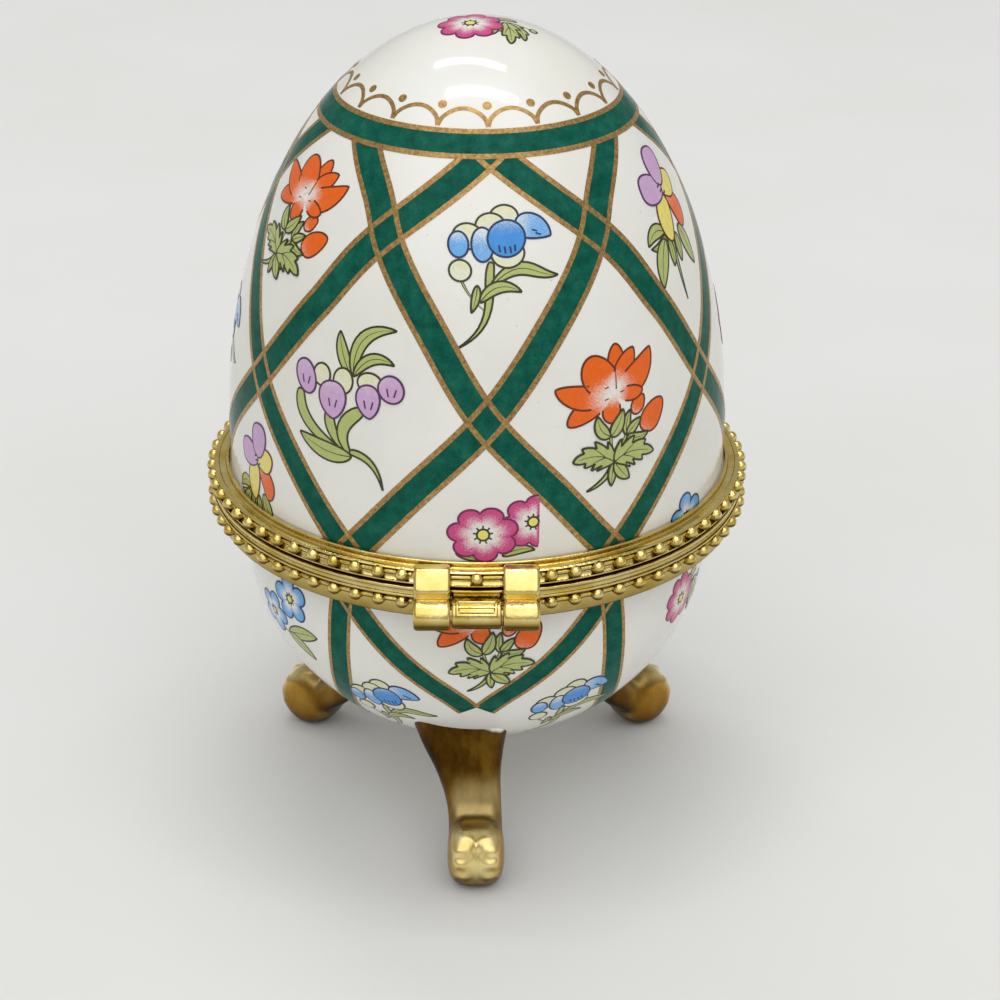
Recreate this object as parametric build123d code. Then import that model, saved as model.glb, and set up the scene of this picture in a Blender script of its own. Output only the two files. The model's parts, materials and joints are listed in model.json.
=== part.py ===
from build123d import *

import math
import os

# An egg-shaped porcelain trinket box on three scroll feet.
# Its lid and bowl are each cemented into a cast, gilt metal rim. A strip of beaded wire lies in a
# cove round each rim. The rims meet at a hinge, where two lugs on the upper rim straddle a knuckle
# on the lower one and a steel pin joins them. On the far side a tongue on the upper rim closes
# over a pip on the lower rim.
# Millimetres: +Z is up, the egg's axis is Z, the floor is Z = 0 and the hinge faces -Y.

# Porcelain lid: a straight collar, then a half ellipsoid.
LID_RADIUS = 30.0
LID_DOME_HEIGHT = 49.8
LID_COLLAR_HEIGHT = 4.75
LID_WALL = 2.6

# Porcelain bowl: a straight collar, then a half ellipsoid that hangs clear of the floor.
BOWL_RADIUS = 28.35
BOWL_DEPTH = 25.9
BOWL_COLLAR_HEIGHT = 6.9
BOWL_WALL = 2.8
BOWL_FLOOR_HEIGHT = 10.1

# Cement between porcelain and metal.
CEMENT_BED = 0.2
CEMENT_SIDE = 0.15
CEMENT_INSET = 0.3

# Cast rims.
RIM_WEB = 0.8
RIM_WALL = 2.2
PARTING_GAP = 0.05
PARTING_CHAMFER_WIDTH = 0.35
PARTING_CHAMFER_HEIGHT = 0.18
UPPER_RIM_HEIGHT = 2.4
UPPER_LIP_WIDTH = 0.45
FLANGE_INSET = 0.55
FLANGE_DROP = 0.45
FLANGE_RIDGE_WIDTH = 0.35
FLANGE_GROOVE_DEPTH = 0.25
LOWER_RIM_HEIGHT = 4.7
LOWER_LIP_HEIGHT = 0.4
BAND_DEPTH = 0.3
BAND_HEIGHT = 0.57
SKIRT_INSET = 0.55
SKIRT_HEIGHT = 0.7
SKIRT_LIP_WIDTH = 1.1

# Beaded wire in the rims' coves.
BEAD_DIAMETER = 1.5
BEAD_INSET = 0.15
BEAD_COUNT = 72
BEAD_CLEARANCE = 0.05
BEAD_WIRE_DIAMETER = 0.7
BEAD_END_GAP = 0.15
UPPER_BEAD_RISE = 1.15
LOWER_BEAD_DROP = 2.2

# Hinge.
HINGE_DROP = 2.05
LUG_RADIUS = 1.8
LUG_WIDTH = 4.1
LUG_SWING_GAP = 0.2
LUG_SIDE_GAP = 0.15
SHOULDER_TOP_INSET = 1.05
SHOULDER_TOP_DROP = 0.2
SHOULDER_REACH = 1.15
SHOULDER_RISE = 0.4
SHOULDER_EDGE_RADIUS = 0.5
KNUCKLE_RADIUS = 1.6
KNUCKLE_WIDTH = 5.5
KNUCKLE_WEB_TOP_GAP = 0.5
PAD_WIDTH = 4.4
PAD_HEIGHT = 2.2
PAD_RELIEF = 0.2
PIN_DIAMETER = 1.5
PIN_CLEARANCE = 0.05

# Tongue and pip.
TONGUE_WIDTH = 7.0
TONGUE_THICKNESS = 1.1
TONGUE_GAP = 0.3
TONGUE_LENGTH = 5.4
TONGUE_CORNER_RADIUS = 2.0
TONGUE_LIP_RADIUS = 0.7
TONGUE_LIP_REACH = 2.4
PIP_RADIUS = 1.0
PIP_GAP = 0.12

# Scroll feet: a toe rolled into a barrel, and a leg that flares up to the bowl.
# A leg's insets are counted inwards from the circle that the toes stand on, and its leans from
# upright.
FOOT_NAMES = ("front_foot", "rear_right_foot", "rear_left_foot")
TOE_CIRCLE_INSET = 3.15
TOE_RADIUS = 4.1
TOE_WIDTH = 6.9
TOE_EDGE_RADIUS = 1.3
TOE_HOLLOW_WIDTH = 3.4
TOE_HOLLOW_DEPTH = 0.45
TOE_HOLLOW_BOTTOM = 1.6
SOLE_DEPTH = 0.15
LEG_EDGE_RADIUS = 1.6
LEG_ROOT_INSET = 7.4
LEG_ROOT_WIDTH = 12.0
LEG_ROOT_THICKNESS = 7.4
LEG_HIP_HEIGHT = 17.0
LEG_HIP_INSET = 7.1
LEG_HIP_WIDTH = 10.2
LEG_HIP_THICKNESS = 6.0
LEG_SHIN_HEIGHT = 11.5
LEG_SHIN_INSET = 6.6
LEG_SHIN_LEAN = 10.0
LEG_SHIN_WIDTH = 7.6
LEG_SHIN_THICKNESS = 4.8
LEG_ANKLE_HEIGHT = 7.0
LEG_ANKLE_INSET = 5.0
LEG_ANKLE_LEAN = 32.0
LEG_ANKLE_WIDTH = 6.7
LEG_ANKLE_THICKNESS = 4.4
LEG_TOE_LEAN = 62.0

# Share of its radius at which a cubic curve's handles make a quarter ellipse.
QUARTER_HANDLE = 4 / 3 * (math.sqrt(2) - 1)

# Heights, worked up from the floor.
BOWL_EQUATOR_Z = BOWL_FLOOR_HEIGHT + BOWL_DEPTH
BOWL_EDGE_Z = BOWL_EQUATOR_Z + BOWL_COLLAR_HEIGHT
LOWER_WEB_Z = BOWL_EDGE_Z + CEMENT_BED
PARTING_Z = LOWER_WEB_Z + RIM_WEB
LOWER_RIM_BOTTOM_Z = PARTING_Z - LOWER_RIM_HEIGHT
LOWER_BEAD_Z = PARTING_Z - LOWER_BEAD_DROP
UPPER_FACE_Z = PARTING_Z + PARTING_GAP
UPPER_WEB_Z = UPPER_FACE_Z + RIM_WEB
UPPER_RIM_TOP_Z = UPPER_FACE_Z + UPPER_RIM_HEIGHT
UPPER_BEAD_Z = UPPER_FACE_Z + UPPER_BEAD_RISE
FLANGE_Z = UPPER_RIM_TOP_Z - FLANGE_DROP
LID_EDGE_Z = UPPER_WEB_Z + CEMENT_BED
LID_EQUATOR_Z = LID_EDGE_Z + LID_COLLAR_HEIGHT
HINGE_Z = PARTING_Z - HINGE_DROP

# Radii of the rims, out from the porcelain.
LID_BORE_RADIUS = LID_RADIUS - LID_WALL
BOWL_BORE_RADIUS = BOWL_RADIUS - BOWL_WALL
RIM_BORE_RADIUS = min(LID_BORE_RADIUS, BOWL_BORE_RADIUS)
LID_SEAT_RADIUS = LID_RADIUS + CEMENT_SIDE
BOWL_SEAT_RADIUS = BOWL_RADIUS + CEMENT_SIDE
RIM_RADIUS = max(LID_SEAT_RADIUS, BOWL_SEAT_RADIUS) + RIM_WALL
BEAD_CIRCLE_RADIUS = RIM_RADIUS - BEAD_INSET
COVE_RADIUS = BEAD_DIAMETER / 2 + BEAD_CLEARANCE

# Circle that the toes stand on, inside the bowl's outline.
TOE_CIRCLE_RADIUS = BOWL_RADIUS - TOE_CIRCLE_INSET

# Places of the hinge's and the tongue's faces.
LUG_BACK_Y = -(RIM_RADIUS + LUG_SWING_GAP)
HINGE_Y = LUG_BACK_Y - LUG_RADIUS
LUG_INNER_X = KNUCKLE_WIDTH / 2 + LUG_SIDE_GAP
LUG_OUTER_X = LUG_INNER_X + LUG_WIDTH
TONGUE_Y = RIM_RADIUS + TONGUE_GAP


def closed(*points):
    """Straight edges from point to point and back to the first."""
    return make_face(Polyline(*points, close=True))


def turned(section):
    """A section drawn as (radius, height), turned about the egg's axis."""
    return revolve(Plane.XZ * section, Axis.Z)


def along_x(section, start, end):
    """A section drawn as (y, height), extruded from one x to another."""
    return extrude(Plane.YZ.offset(start) * section, amount=end - start)


def half_egg(radius, height, edge_z, equator_z, direction):
    """A collar from its edge to its equator, then a half ellipsoid, up (1) or down (-1)."""
    pole_z = equator_z + direction * height
    rim_edge = Line((0, edge_z), (radius, edge_z))
    collar = Line((radius, edge_z), (radius, equator_z))
    dome = Bezier(
        (radius, equator_z),
        (radius, equator_z + QUARTER_HANDLE * direction * height),
        (QUARTER_HANDLE * radius, pole_z),
        (0, pole_z),
    )
    axis = Line((0, pole_z), (0, edge_z))
    return turned(make_face([rim_edge, collar, dome, axis]))


def lid_shell():
    outside = half_egg(LID_RADIUS, LID_DOME_HEIGHT, LID_EDGE_Z, LID_EQUATOR_Z, 1)
    inside = half_egg(LID_BORE_RADIUS, LID_DOME_HEIGHT - LID_WALL, LID_EDGE_Z, LID_EQUATOR_Z, 1)
    return outside - inside


def bowl_outside():
    return half_egg(BOWL_RADIUS, BOWL_DEPTH, BOWL_EDGE_Z, BOWL_EQUATOR_Z, -1)


def base_bowl():
    inside = half_egg(BOWL_BORE_RADIUS, BOWL_DEPTH - BOWL_WALL, BOWL_EDGE_Z, BOWL_EQUATOR_Z, -1)
    return bowl_outside() - inside


def cement(bore, radius, seat, edge_z, web_z, end_z):
    """A bed under the porcelain's edge and a thin sleeve round its outside."""
    return turned(closed(
        (bore, web_z),
        (seat, web_z),
        (seat, end_z),
        (radius, end_z),
        (radius, edge_z),
        (bore, edge_z),
    ))


def lid_cement():
    end_z = UPPER_RIM_TOP_Z - CEMENT_INSET
    return cement(LID_BORE_RADIUS, LID_RADIUS, LID_SEAT_RADIUS, LID_EDGE_Z, UPPER_WEB_Z, end_z)


def bowl_cement():
    end_z = LOWER_RIM_BOTTOM_Z + CEMENT_INSET
    return cement(BOWL_BORE_RADIUS, BOWL_RADIUS, BOWL_SEAT_RADIUS, BOWL_EDGE_Z, LOWER_WEB_Z, end_z)


def bead_cove(bead_z):
    """The round channel that a strip of beaded wire lies in."""
    return Pos(0, 0, bead_z) * Torus(BEAD_CIRCLE_RADIUS, COVE_RADIUS)


def upper_rim_ring():
    """A web under the lid's edge, and a wall with the cove, and a groove between the lip round the
    lid and the ridge over the cove."""
    ridge_radius = RIM_RADIUS - FLANGE_INSET
    groove_radius = ridge_radius - FLANGE_RIDGE_WIDTH
    lip_radius = LID_SEAT_RADIUS + UPPER_LIP_WIDTH
    section = closed(
        (RIM_BORE_RADIUS, UPPER_FACE_Z),
        (RIM_RADIUS - PARTING_CHAMFER_WIDTH, UPPER_FACE_Z),
        (RIM_RADIUS, UPPER_FACE_Z + PARTING_CHAMFER_HEIGHT),
        (RIM_RADIUS, UPPER_BEAD_Z),
        (ridge_radius, FLANGE_Z),
        (groove_radius, FLANGE_Z),
        (groove_radius, FLANGE_Z - FLANGE_GROOVE_DEPTH),
        (lip_radius, FLANGE_Z - FLANGE_GROOVE_DEPTH),
        (lip_radius, UPPER_RIM_TOP_Z),
        (LID_SEAT_RADIUS, UPPER_RIM_TOP_Z),
        (LID_SEAT_RADIUS, UPPER_WEB_Z),
        (RIM_BORE_RADIUS, UPPER_WEB_Z),
    )
    return turned(section) - bead_cove(UPPER_BEAD_Z)


def lower_rim_ring():
    """A web over the bowl's edge, and a wall with a lip, a sunk band, the cove and a skirt."""
    band_top = PARTING_Z - PARTING_CHAMFER_HEIGHT - LOWER_LIP_HEIGHT
    band_bottom = band_top - BAND_HEIGHT
    section = closed(
        (RIM_BORE_RADIUS, PARTING_Z),
        (RIM_RADIUS - PARTING_CHAMFER_WIDTH, PARTING_Z),
        (RIM_RADIUS, PARTING_Z - PARTING_CHAMFER_HEIGHT),
        (RIM_RADIUS, band_top),
        (RIM_RADIUS - BAND_DEPTH, band_top),
        (RIM_RADIUS - BAND_DEPTH, band_bottom),
        (RIM_RADIUS, band_bottom),
        (RIM_RADIUS, LOWER_BEAD_Z),
        (RIM_RADIUS - SKIRT_INSET, LOWER_BEAD_Z),
        (RIM_RADIUS - SKIRT_INSET, LOWER_RIM_BOTTOM_Z + SKIRT_HEIGHT),
        (BOWL_SEAT_RADIUS + SKIRT_LIP_WIDTH, LOWER_RIM_BOTTOM_Z),
        (BOWL_SEAT_RADIUS, LOWER_RIM_BOTTOM_Z),
        (BOWL_SEAT_RADIUS, LOWER_WEB_Z),
        (RIM_BORE_RADIUS, LOWER_WEB_Z),
    )
    return turned(section) - bead_cove(LOWER_BEAD_Z)


def lug_section():
    """An upper lug, seen along the pin: a shoulder that slopes off the rim, a neck that hangs down
    clear of the lower rim, and a barrel round the pin."""
    root_y = -(LID_SEAT_RADIUS + UPPER_LIP_WIDTH)
    front_y = -(RIM_RADIUS + SHOULDER_REACH)
    shoulder_z = UPPER_FACE_Z + SHOULDER_RISE
    shoulder = closed(
        (root_y, UPPER_FACE_Z),
        (root_y, UPPER_RIM_TOP_Z),
        (-(RIM_RADIUS - SHOULDER_TOP_INSET), UPPER_RIM_TOP_Z - SHOULDER_TOP_DROP),
        (front_y, shoulder_z),
        (front_y, UPPER_FACE_Z),
    )
    front_corner = shoulder.vertices().group_by(Axis.X)[0].sort_by(Axis.Y)[-1]
    shoulder = fillet(front_corner, SHOULDER_EDGE_RADIUS)
    neck = closed(
        (LUG_BACK_Y, UPPER_FACE_Z),
        (front_y, UPPER_FACE_Z),
        (front_y, HINGE_Z),
        (LUG_BACK_Y, HINGE_Z),
    )
    barrel = Pos(HINGE_Y, HINGE_Z) * Circle(LUG_RADIUS)
    return shoulder + neck + barrel


def pin_cylinder(radius, width):
    """A cylinder on the hinge's axis, centred between the lugs."""
    return Pos(0, HINGE_Y, HINGE_Z) * Rot(0, 90, 0) * Cylinder(radius, width)


def tongue():
    """A plate that hangs from the upper rim over the lower one and ends in a lip for the thumb."""
    bottom_z = FLANGE_Z - TONGUE_LENGTH
    face_y = TONGUE_Y + TONGUE_THICKNESS
    lip_y = face_y + TONGUE_LIP_REACH - TONGUE_LIP_RADIUS
    lip_top = bottom_z + 2 * TONGUE_LIP_RADIUS
    side = make_face([
        Polyline(
            (lip_y, lip_top),
            (face_y, lip_top + TONGUE_LIP_REACH / 2),
            (face_y, FLANGE_Z - TONGUE_THICKNESS / 2),
            (TONGUE_Y, FLANGE_Z),
            (LID_SEAT_RADIUS, FLANGE_Z),
            (LID_SEAT_RADIUS, UPPER_FACE_Z),
            (TONGUE_Y, UPPER_FACE_Z),
            (TONGUE_Y, bottom_z),
            (lip_y, bottom_z),
        ),
        ThreePointArc(
            (lip_y, bottom_z),
            (lip_y + TONGUE_LIP_RADIUS, bottom_z + TONGUE_LIP_RADIUS),
            (lip_y, lip_top),
        ),
    ])
    front = Pos(0, FLANGE_Z - TONGUE_LENGTH / 2) * RectangleRounded(
        TONGUE_WIDTH, TONGUE_LENGTH, TONGUE_CORNER_RADIUS
    )
    plate = along_x(side, -TONGUE_WIDTH / 2, TONGUE_WIDTH / 2)
    return plate & extrude(Plane.XZ * front, amount=-2 * lip_y)


def upper_rim():
    lug = along_x(lug_section(), LUG_INNER_X, LUG_OUTER_X)
    lid_seat = Pos(0, 0, UPPER_WEB_Z) * Cylinder(
        LID_SEAT_RADIUS, UPPER_RIM_HEIGHT, align=(Align.CENTER, Align.CENTER, Align.MIN)
    )
    casting = upper_rim_ring() + lug + mirror(lug, Plane.YZ) + tongue()
    return casting - lid_seat - pin_cylinder(PIN_DIAMETER / 2, 2 * LUG_OUTER_X)


def knuckle():
    """A barrel with a raised pad on its face, on a web off the lower rim."""
    web = closed(
        (HINGE_Y, HINGE_Z - KNUCKLE_RADIUS),
        (HINGE_Y, HINGE_Z + KNUCKLE_RADIUS),
        (-(RIM_RADIUS - BAND_DEPTH), PARTING_Z - KNUCKLE_WEB_TOP_GAP),
        (-BOWL_SEAT_RADIUS, PARTING_Z - KNUCKLE_WEB_TOP_GAP),
        (-BOWL_SEAT_RADIUS, LOWER_RIM_BOTTOM_Z),
    )
    pad_zone = Pos(HINGE_Y, HINGE_Z) * Rectangle(
        2 * LUG_RADIUS, PAD_HEIGHT, align=(Align.MAX, Align.CENTER)
    )
    pad = Pos(HINGE_Y, HINGE_Z) * Circle(KNUCKLE_RADIUS + PAD_RELIEF) & pad_zone
    body = along_x(web, -KNUCKLE_WIDTH / 2, KNUCKLE_WIDTH / 2)
    barrel = pin_cylinder(KNUCKLE_RADIUS, KNUCKLE_WIDTH)
    return body + barrel + along_x(pad, -PAD_WIDTH / 2, PAD_WIDTH / 2)


def lower_rim():
    bowl_seat = Pos(0, 0, LOWER_WEB_Z) * Cylinder(
        BOWL_SEAT_RADIUS, 2 * LOWER_RIM_HEIGHT, align=(Align.CENTER, Align.CENTER, Align.MAX)
    )
    pip = Pos(0, TONGUE_Y - PIP_GAP - PIP_RADIUS, LOWER_BEAD_Z) * Sphere(PIP_RADIUS)
    casting = lower_rim_ring() + knuckle() + pip
    return casting - bowl_seat - pin_cylinder(PIN_DIAMETER / 2 + PIN_CLEARANCE, 2 * LUG_OUTER_X)


def hinge_pin():
    return pin_cylinder(PIN_DIAMETER / 2, 2 * LUG_OUTER_X)


def angle_beside(x):
    """Degrees round the rim from its mid-plane to a face that lies x to one side."""
    return math.degrees(math.asin(x / (BEAD_CIRCLE_RADIUS - BEAD_DIAMETER / 2)))


def bead_strip(bead_z, start, end):
    """Wire with beads at a steady pitch, between two angles counted from the hinge."""
    end_gap = math.degrees(BEAD_END_GAP / BEAD_CIRCLE_RADIUS)
    half_bead = math.degrees(BEAD_DIAMETER / 2 / BEAD_CIRCLE_RADIUS)
    section = Plane.XZ * Pos(BEAD_CIRCLE_RADIUS, bead_z) * Circle(BEAD_WIRE_DIAMETER / 2)
    wire = Rot(0, 0, start + end_gap - 90) * revolve(section, Axis.Z, end - start - 2 * end_gap)
    bead = Pos(BEAD_CIRCLE_RADIUS, 0, bead_z) * Sphere(BEAD_DIAMETER / 2)
    pitch = 360 / BEAD_COUNT
    angles = [n * pitch for n in range(-BEAD_COUNT, BEAD_COUNT)]
    room = end_gap + half_bead
    beads = [Rot(0, 0, a - 90) * bead for a in angles if start + room <= a <= end - room]
    return wire + beads


def upper_rim_beading():
    lug_end = angle_beside(LUG_OUTER_X)
    tongue_end = 180 - angle_beside(TONGUE_WIDTH / 2)
    between_lugs = angle_beside(LUG_INNER_X)
    return Compound([
        bead_strip(UPPER_BEAD_Z, lug_end, tongue_end),
        bead_strip(UPPER_BEAD_Z, -tongue_end, -lug_end),
        bead_strip(UPPER_BEAD_Z, -between_lugs, between_lugs),
    ])


def lower_rim_beading():
    lug_end = angle_beside(LUG_OUTER_X)
    tongue_end = 180 - angle_beside(TONGUE_WIDTH / 2)
    return Compound([
        bead_strip(LOWER_BEAD_Z, lug_end, tongue_end),
        bead_strip(LOWER_BEAD_Z, -tongue_end, -lug_end),
    ])


def leg_section(inset, height, lean, width, thickness):
    """A leg's cross-section under the -Y side, square to the way that the leg runs down."""
    centre = (0, inset - TOE_CIRCLE_RADIUS, height)
    downwards = Vector(0, 0, -1).rotate(Axis.X, -lean)
    square_to_leg = Plane(centre, x_dir=(1, 0, 0), z_dir=downwards)
    return square_to_leg * RectangleRounded(width, thickness, LEG_EDGE_RADIUS)


def leg(toe_z):
    """From inside the bowl's outline down into the middle of the toe."""
    root_z = BOWL_FLOOR_HEIGHT + BOWL_DEPTH / 2
    return loft([
        leg_section(LEG_ROOT_INSET, root_z, 0, LEG_ROOT_WIDTH, LEG_ROOT_THICKNESS),
        leg_section(LEG_HIP_INSET, LEG_HIP_HEIGHT, 0, LEG_HIP_WIDTH, LEG_HIP_THICKNESS),
        leg_section(LEG_SHIN_INSET, LEG_SHIN_HEIGHT, LEG_SHIN_LEAN, LEG_SHIN_WIDTH, LEG_SHIN_THICKNESS),
        leg_section(LEG_ANKLE_INSET, LEG_ANKLE_HEIGHT, LEG_ANKLE_LEAN, LEG_ANKLE_WIDTH, LEG_ANKLE_THICKNESS),
        leg_section(TOE_RADIUS / 3, toe_z, LEG_TOE_LEAN, LEG_ANKLE_WIDTH, TOE_RADIUS),
    ])


def toe_hollow():
    """A ring whose inner side sinks a shallow hollow round the middle of the toe's barrel."""
    round_radius = (TOE_HOLLOW_WIDTH ** 2 / 4 + TOE_HOLLOW_DEPTH ** 2) / (2 * TOE_HOLLOW_DEPTH)
    return Torus(TOE_RADIUS - TOE_HOLLOW_DEPTH + round_radius, round_radius)


def toe(toe_z):
    """A barrel on its side with rounded rims and a hollowed front, flat where it stands."""
    on_its_side = Pos(0, -TOE_CIRCLE_RADIUS, toe_z) * Rot(0, 90, 0)
    barrel = on_its_side * Cylinder(TOE_RADIUS, TOE_WIDTH)
    barrel = fillet(barrel.edges().filter_by(GeomType.CIRCLE), TOE_EDGE_RADIUS)
    ground = 4 * TOE_CIRCLE_RADIUS
    floor = Box(ground, ground, 2 * TOE_RADIUS, align=(Align.CENTER, Align.CENTER, Align.MAX))
    hollow = on_its_side * toe_hollow() - Pos(0, 0, TOE_HOLLOW_BOTTOM) * floor
    return barrel - hollow - floor


def foot(turn):
    """A leg and its toe, cut to lie against the bowl and turned away from the hinge's side."""
    toe_z = TOE_RADIUS - SOLE_DEPTH
    return Rot(0, 0, turn) * (leg(toe_z) + toe(toe_z) - bowl_outside())


def main():
    pieces = {
        "lid_shell": lid_shell(),
        "lid_cement": lid_cement(),
        "upper_rim": upper_rim(),
        "upper_rim_beading": upper_rim_beading(),
        "hinge_pin": hinge_pin(),
        "base_bowl": base_bowl(),
        "bowl_cement": bowl_cement(),
        "lower_rim": lower_rim(),
        "lower_rim_beading": lower_rim_beading(),
    }
    for place, name in enumerate(FOOT_NAMES):
        pieces[name] = foot(place * 360 / len(FOOT_NAMES))
    os.makedirs("parts", exist_ok=True)
    for name, shape in pieces.items():
        export_step(shape, f"parts/{name}.step")
        print(name, len(shape.solids()), "solids", round(shape.volume, 1), "mm3")


main()
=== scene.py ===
import functools
import json
import math

import bmesh
import bpy
import numpy as np
from mathutils import Matrix, Vector


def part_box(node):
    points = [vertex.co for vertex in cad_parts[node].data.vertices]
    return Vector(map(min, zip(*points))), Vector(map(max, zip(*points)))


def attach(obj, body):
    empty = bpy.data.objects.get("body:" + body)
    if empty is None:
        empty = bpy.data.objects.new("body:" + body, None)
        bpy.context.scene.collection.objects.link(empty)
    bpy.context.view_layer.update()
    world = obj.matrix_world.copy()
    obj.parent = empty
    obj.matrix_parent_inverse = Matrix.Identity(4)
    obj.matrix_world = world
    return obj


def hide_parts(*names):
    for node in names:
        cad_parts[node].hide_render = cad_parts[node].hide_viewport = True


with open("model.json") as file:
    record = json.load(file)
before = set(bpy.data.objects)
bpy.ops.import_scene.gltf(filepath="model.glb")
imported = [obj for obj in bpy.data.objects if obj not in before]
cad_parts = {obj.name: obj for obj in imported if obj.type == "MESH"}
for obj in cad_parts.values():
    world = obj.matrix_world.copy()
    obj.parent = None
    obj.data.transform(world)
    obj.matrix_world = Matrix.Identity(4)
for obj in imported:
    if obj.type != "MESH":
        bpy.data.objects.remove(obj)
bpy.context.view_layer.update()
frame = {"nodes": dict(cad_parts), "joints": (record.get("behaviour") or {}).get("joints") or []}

# A porcelain egg box on three gilt scroll feet, printed with a ribbon trellis and flower sprigs.
# Lengths are millimetres, and MM turns them into the scene's metres. Angles on the egg are degrees
# from the hinge, which faces -Y, towards +X. Names that end in STEPS, SIDES, RINGS, ROWS, COLUMNS or
# SLICES say how finely a form is divided, and SPAN says how near it runs to its poles or ends.
MM = 0.001


def box(node):
    """A node's lowest and highest corners in millimetres."""
    low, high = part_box(node)
    return low / MM, high / MM


# Edges and divisions of all the meshes.
SHARP_ANGLE = math.radians(40)
STRAIGHT_ANGLE = math.radians(12)
WELD_REACH = 1e-8
NEARLY_ZERO = 1e-9
EDGE_STEPS = 4
CORNER_STEPS = 6
CORNER_ROOM = 2.2
TURN_STEPS = 288

# Porcelain halves.
LID_COLLAR = 4.75
LID_WALL = 2.6
BOWL_COLLAR = 6.9
BOWL_WALL = 2.8
ARC_STEPS = 2000
DOME_STEPS = 90

# Rims.
RIM_RADIUS = box("upper_rim")[1].x
UPPER_TOP_Z = box("upper_rim")[1].z
PARTING_Z = box("lower_rim")[1].z
LOWER_BOTTOM_Z = box("lower_rim")[0].z
PARTING_GAP = 0.05
UPPER_FACE_Z = PARTING_Z + PARTING_GAP
RIM_WEB = 0.8
CHAMFER_WIDTH = 0.6
CHAMFER_HEIGHT = 0.2
FLANGE_INSET = 0.55
FLANGE_DROP = 0.45
FLANGE_RIDGE = 0.35
FLANGE_GROOVE = 0.25
UPPER_LIP = 0.45
LOWER_LIP_HEIGHT = 0.4
BAND_DEPTH = 0.3
BAND_HEIGHT = 0.57
SKIRT_INSET = 0.55
SKIRT_HEIGHT = 0.7
SKIRT_LIP = 1.1
CEMENT_SIDE = 0.15
COVE_DEPTH = 0.45
METAL_EDGE = 0.12
RING_EDGE = 0.18
COVE_STEPS = 17

# Beaded wire.
BEAD_RADIUS = (box("upper_rim_beading")[1].z - box("upper_rim_beading")[0].z) / 2
BEAD_CIRCLE = box("upper_rim_beading")[1].x - BEAD_RADIUS
UPPER_BEAD_Z = box("upper_rim_beading")[1].z - BEAD_RADIUS
LOWER_BEAD_Z = box("lower_rim_beading")[1].z - BEAD_RADIUS
BEAD_COUNT = 72
BEAD_WIRE_RADIUS = 0.35
BEAD_WIRE_INSET = 0.5
BEAD_END_GAP = 0.15
COVE_HALF_HEIGHT = 0.75
BEAD_STEPS = 13
WIRE_SIDES = 16

# Hinge.
HINGE = Vector(frame["joints"][0]["pos_m"]) / MM
PIN_END_X = box("hinge_pin")[1].x
LUG_RADIUS = 1.8
LUG_INNER_X = 2.9
LUG_OUTER_X = 7.0
LUG_BACK_Y = HINGE.y + LUG_RADIUS
LUG_EDGE = 0.4
LUG_STEPS = 30
SHOULDER_TOP_INSET = 0.45
SHOULDER_TOP_DROP = 0.1
SHOULDER_REACH = 1.15
SHOULDER_RISE = 0.4
KNUCKLE_RADIUS = 1.6
KNUCKLE_HALF_WIDTH = 2.75
KNUCKLE_TOP_GAP = 0.5
KNUCKLE_STEPS = 24
PAD_HALF_WIDTH = 2.35
PAD_MIDDLE_ANGLE = 58.0
PAD_HALF_ANGLE = 38.0
PAD_RELIEF = 0.2
PAD_FRAME = 0.32
PAD_FRAME_SPREAD = 1.5
PAD_FRAME_STEEPNESS = (3.0, 2.2)
PAD_BARS = 3
PAD_BAR_START = 1.2
PAD_BAR_SWELL = 1.6
PAD_BAR_SINK = 0.3
PAD_BAR_SHARE = 0.8
PAD_ROWS = 61
PAD_COLUMNS = 81
PIN_RADIUS = 0.75
PIN_DOME = 0.14
PIN_END_SPAN = (6.0, 90.0)
PIN_END_STEPS = 7
PIN_SIDES = 32

# Tongue and pip, opposite the hinge.
TONGUE_HALF_WIDTH = 3.5
TONGUE_GAP = 0.3
TONGUE_THICKNESS = 1.1
TONGUE_LENGTH = 5.4
TONGUE_CORNER = 2.0
TONGUE_LIP_RADIUS = 0.7
TONGUE_LIP_REACH = 2.4
TONGUE_EDGE = 0.35
TONGUE_TRIM = 0.02
TONGUE_SLICES = 70
PIP_RADIUS = 1.0
PIP_GAP = 0.12
PIP_SPAN = (-89.5, 89.5)
PIP_STEPS = 24

# Feet. A section down the leg is (sway, inset from the toe circle, height, lean, width, thickness),
# and a lump on the toe is (across, degrees up from its front).
FOOT_NAMES = ("front_foot", "rear_right_foot", "rear_left_foot")
TOE_CIRCLE = 25.2
TOE_Z = 3.95
TOE_RADIUS = 4.1
TOE_HALF_WIDTH = 3.45
TOE_SQUARENESS = 3.2
TOE_SKIN = (TOE_RADIUS / 2, TOE_RADIUS * 0.8)
TOE_HOLLOW = 0.36
TOE_HOLLOW_SIDE = (1.8, 2.8)
TOE_HOLLOW_ANGLES = (-40.0, 46.0)
TOE_HOLLOW_EDGE_ANGLE = 15.0
TOE_RIDGE = 0.26
TOE_RIDGE_HALF_WIDTH = 0.35
TOE_LUMP = 0.32
TOE_LUMP_REACH = 0.55
TOE_LUMPS = ((0, 45), (-1.9, 36), (1.9, 36), (-1.9, 9), (1.9, 9), (-1.7, -20), (1.7, -20))
TOE_SPAN = (2.0, 178.0)
TOE_RINGS = 45
TOE_SIDES = 64
LEG_ROOT = (-2.1, 7.4, 23.05, 0.0, 12.0, 7.4)
LEG_HIP = (-1.7, 7.1, 17.0, 0.0, 10.4, 6.0)
LEG_SHIN = (-0.9, 6.6, 11.5, 10.0, 7.8, 4.8)
LEG_ANKLE = (-0.2, 5.2, 7.0, 32.0, 6.6, 4.4)
LEG_TOE = (0.0, 1.4, 3.95, 62.0, 6.6, 4.1)
LEG_EDGE = 1.6
LEG_STEPS = 48
FOOT_VOXEL = 0.2
FOOT_SMOOTHING = 36
FOOT_FLARE = 0.15
FOOT_FLARE_REACH = 1.8
FOOT_FLARE_LIMIT = 1.4
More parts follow.
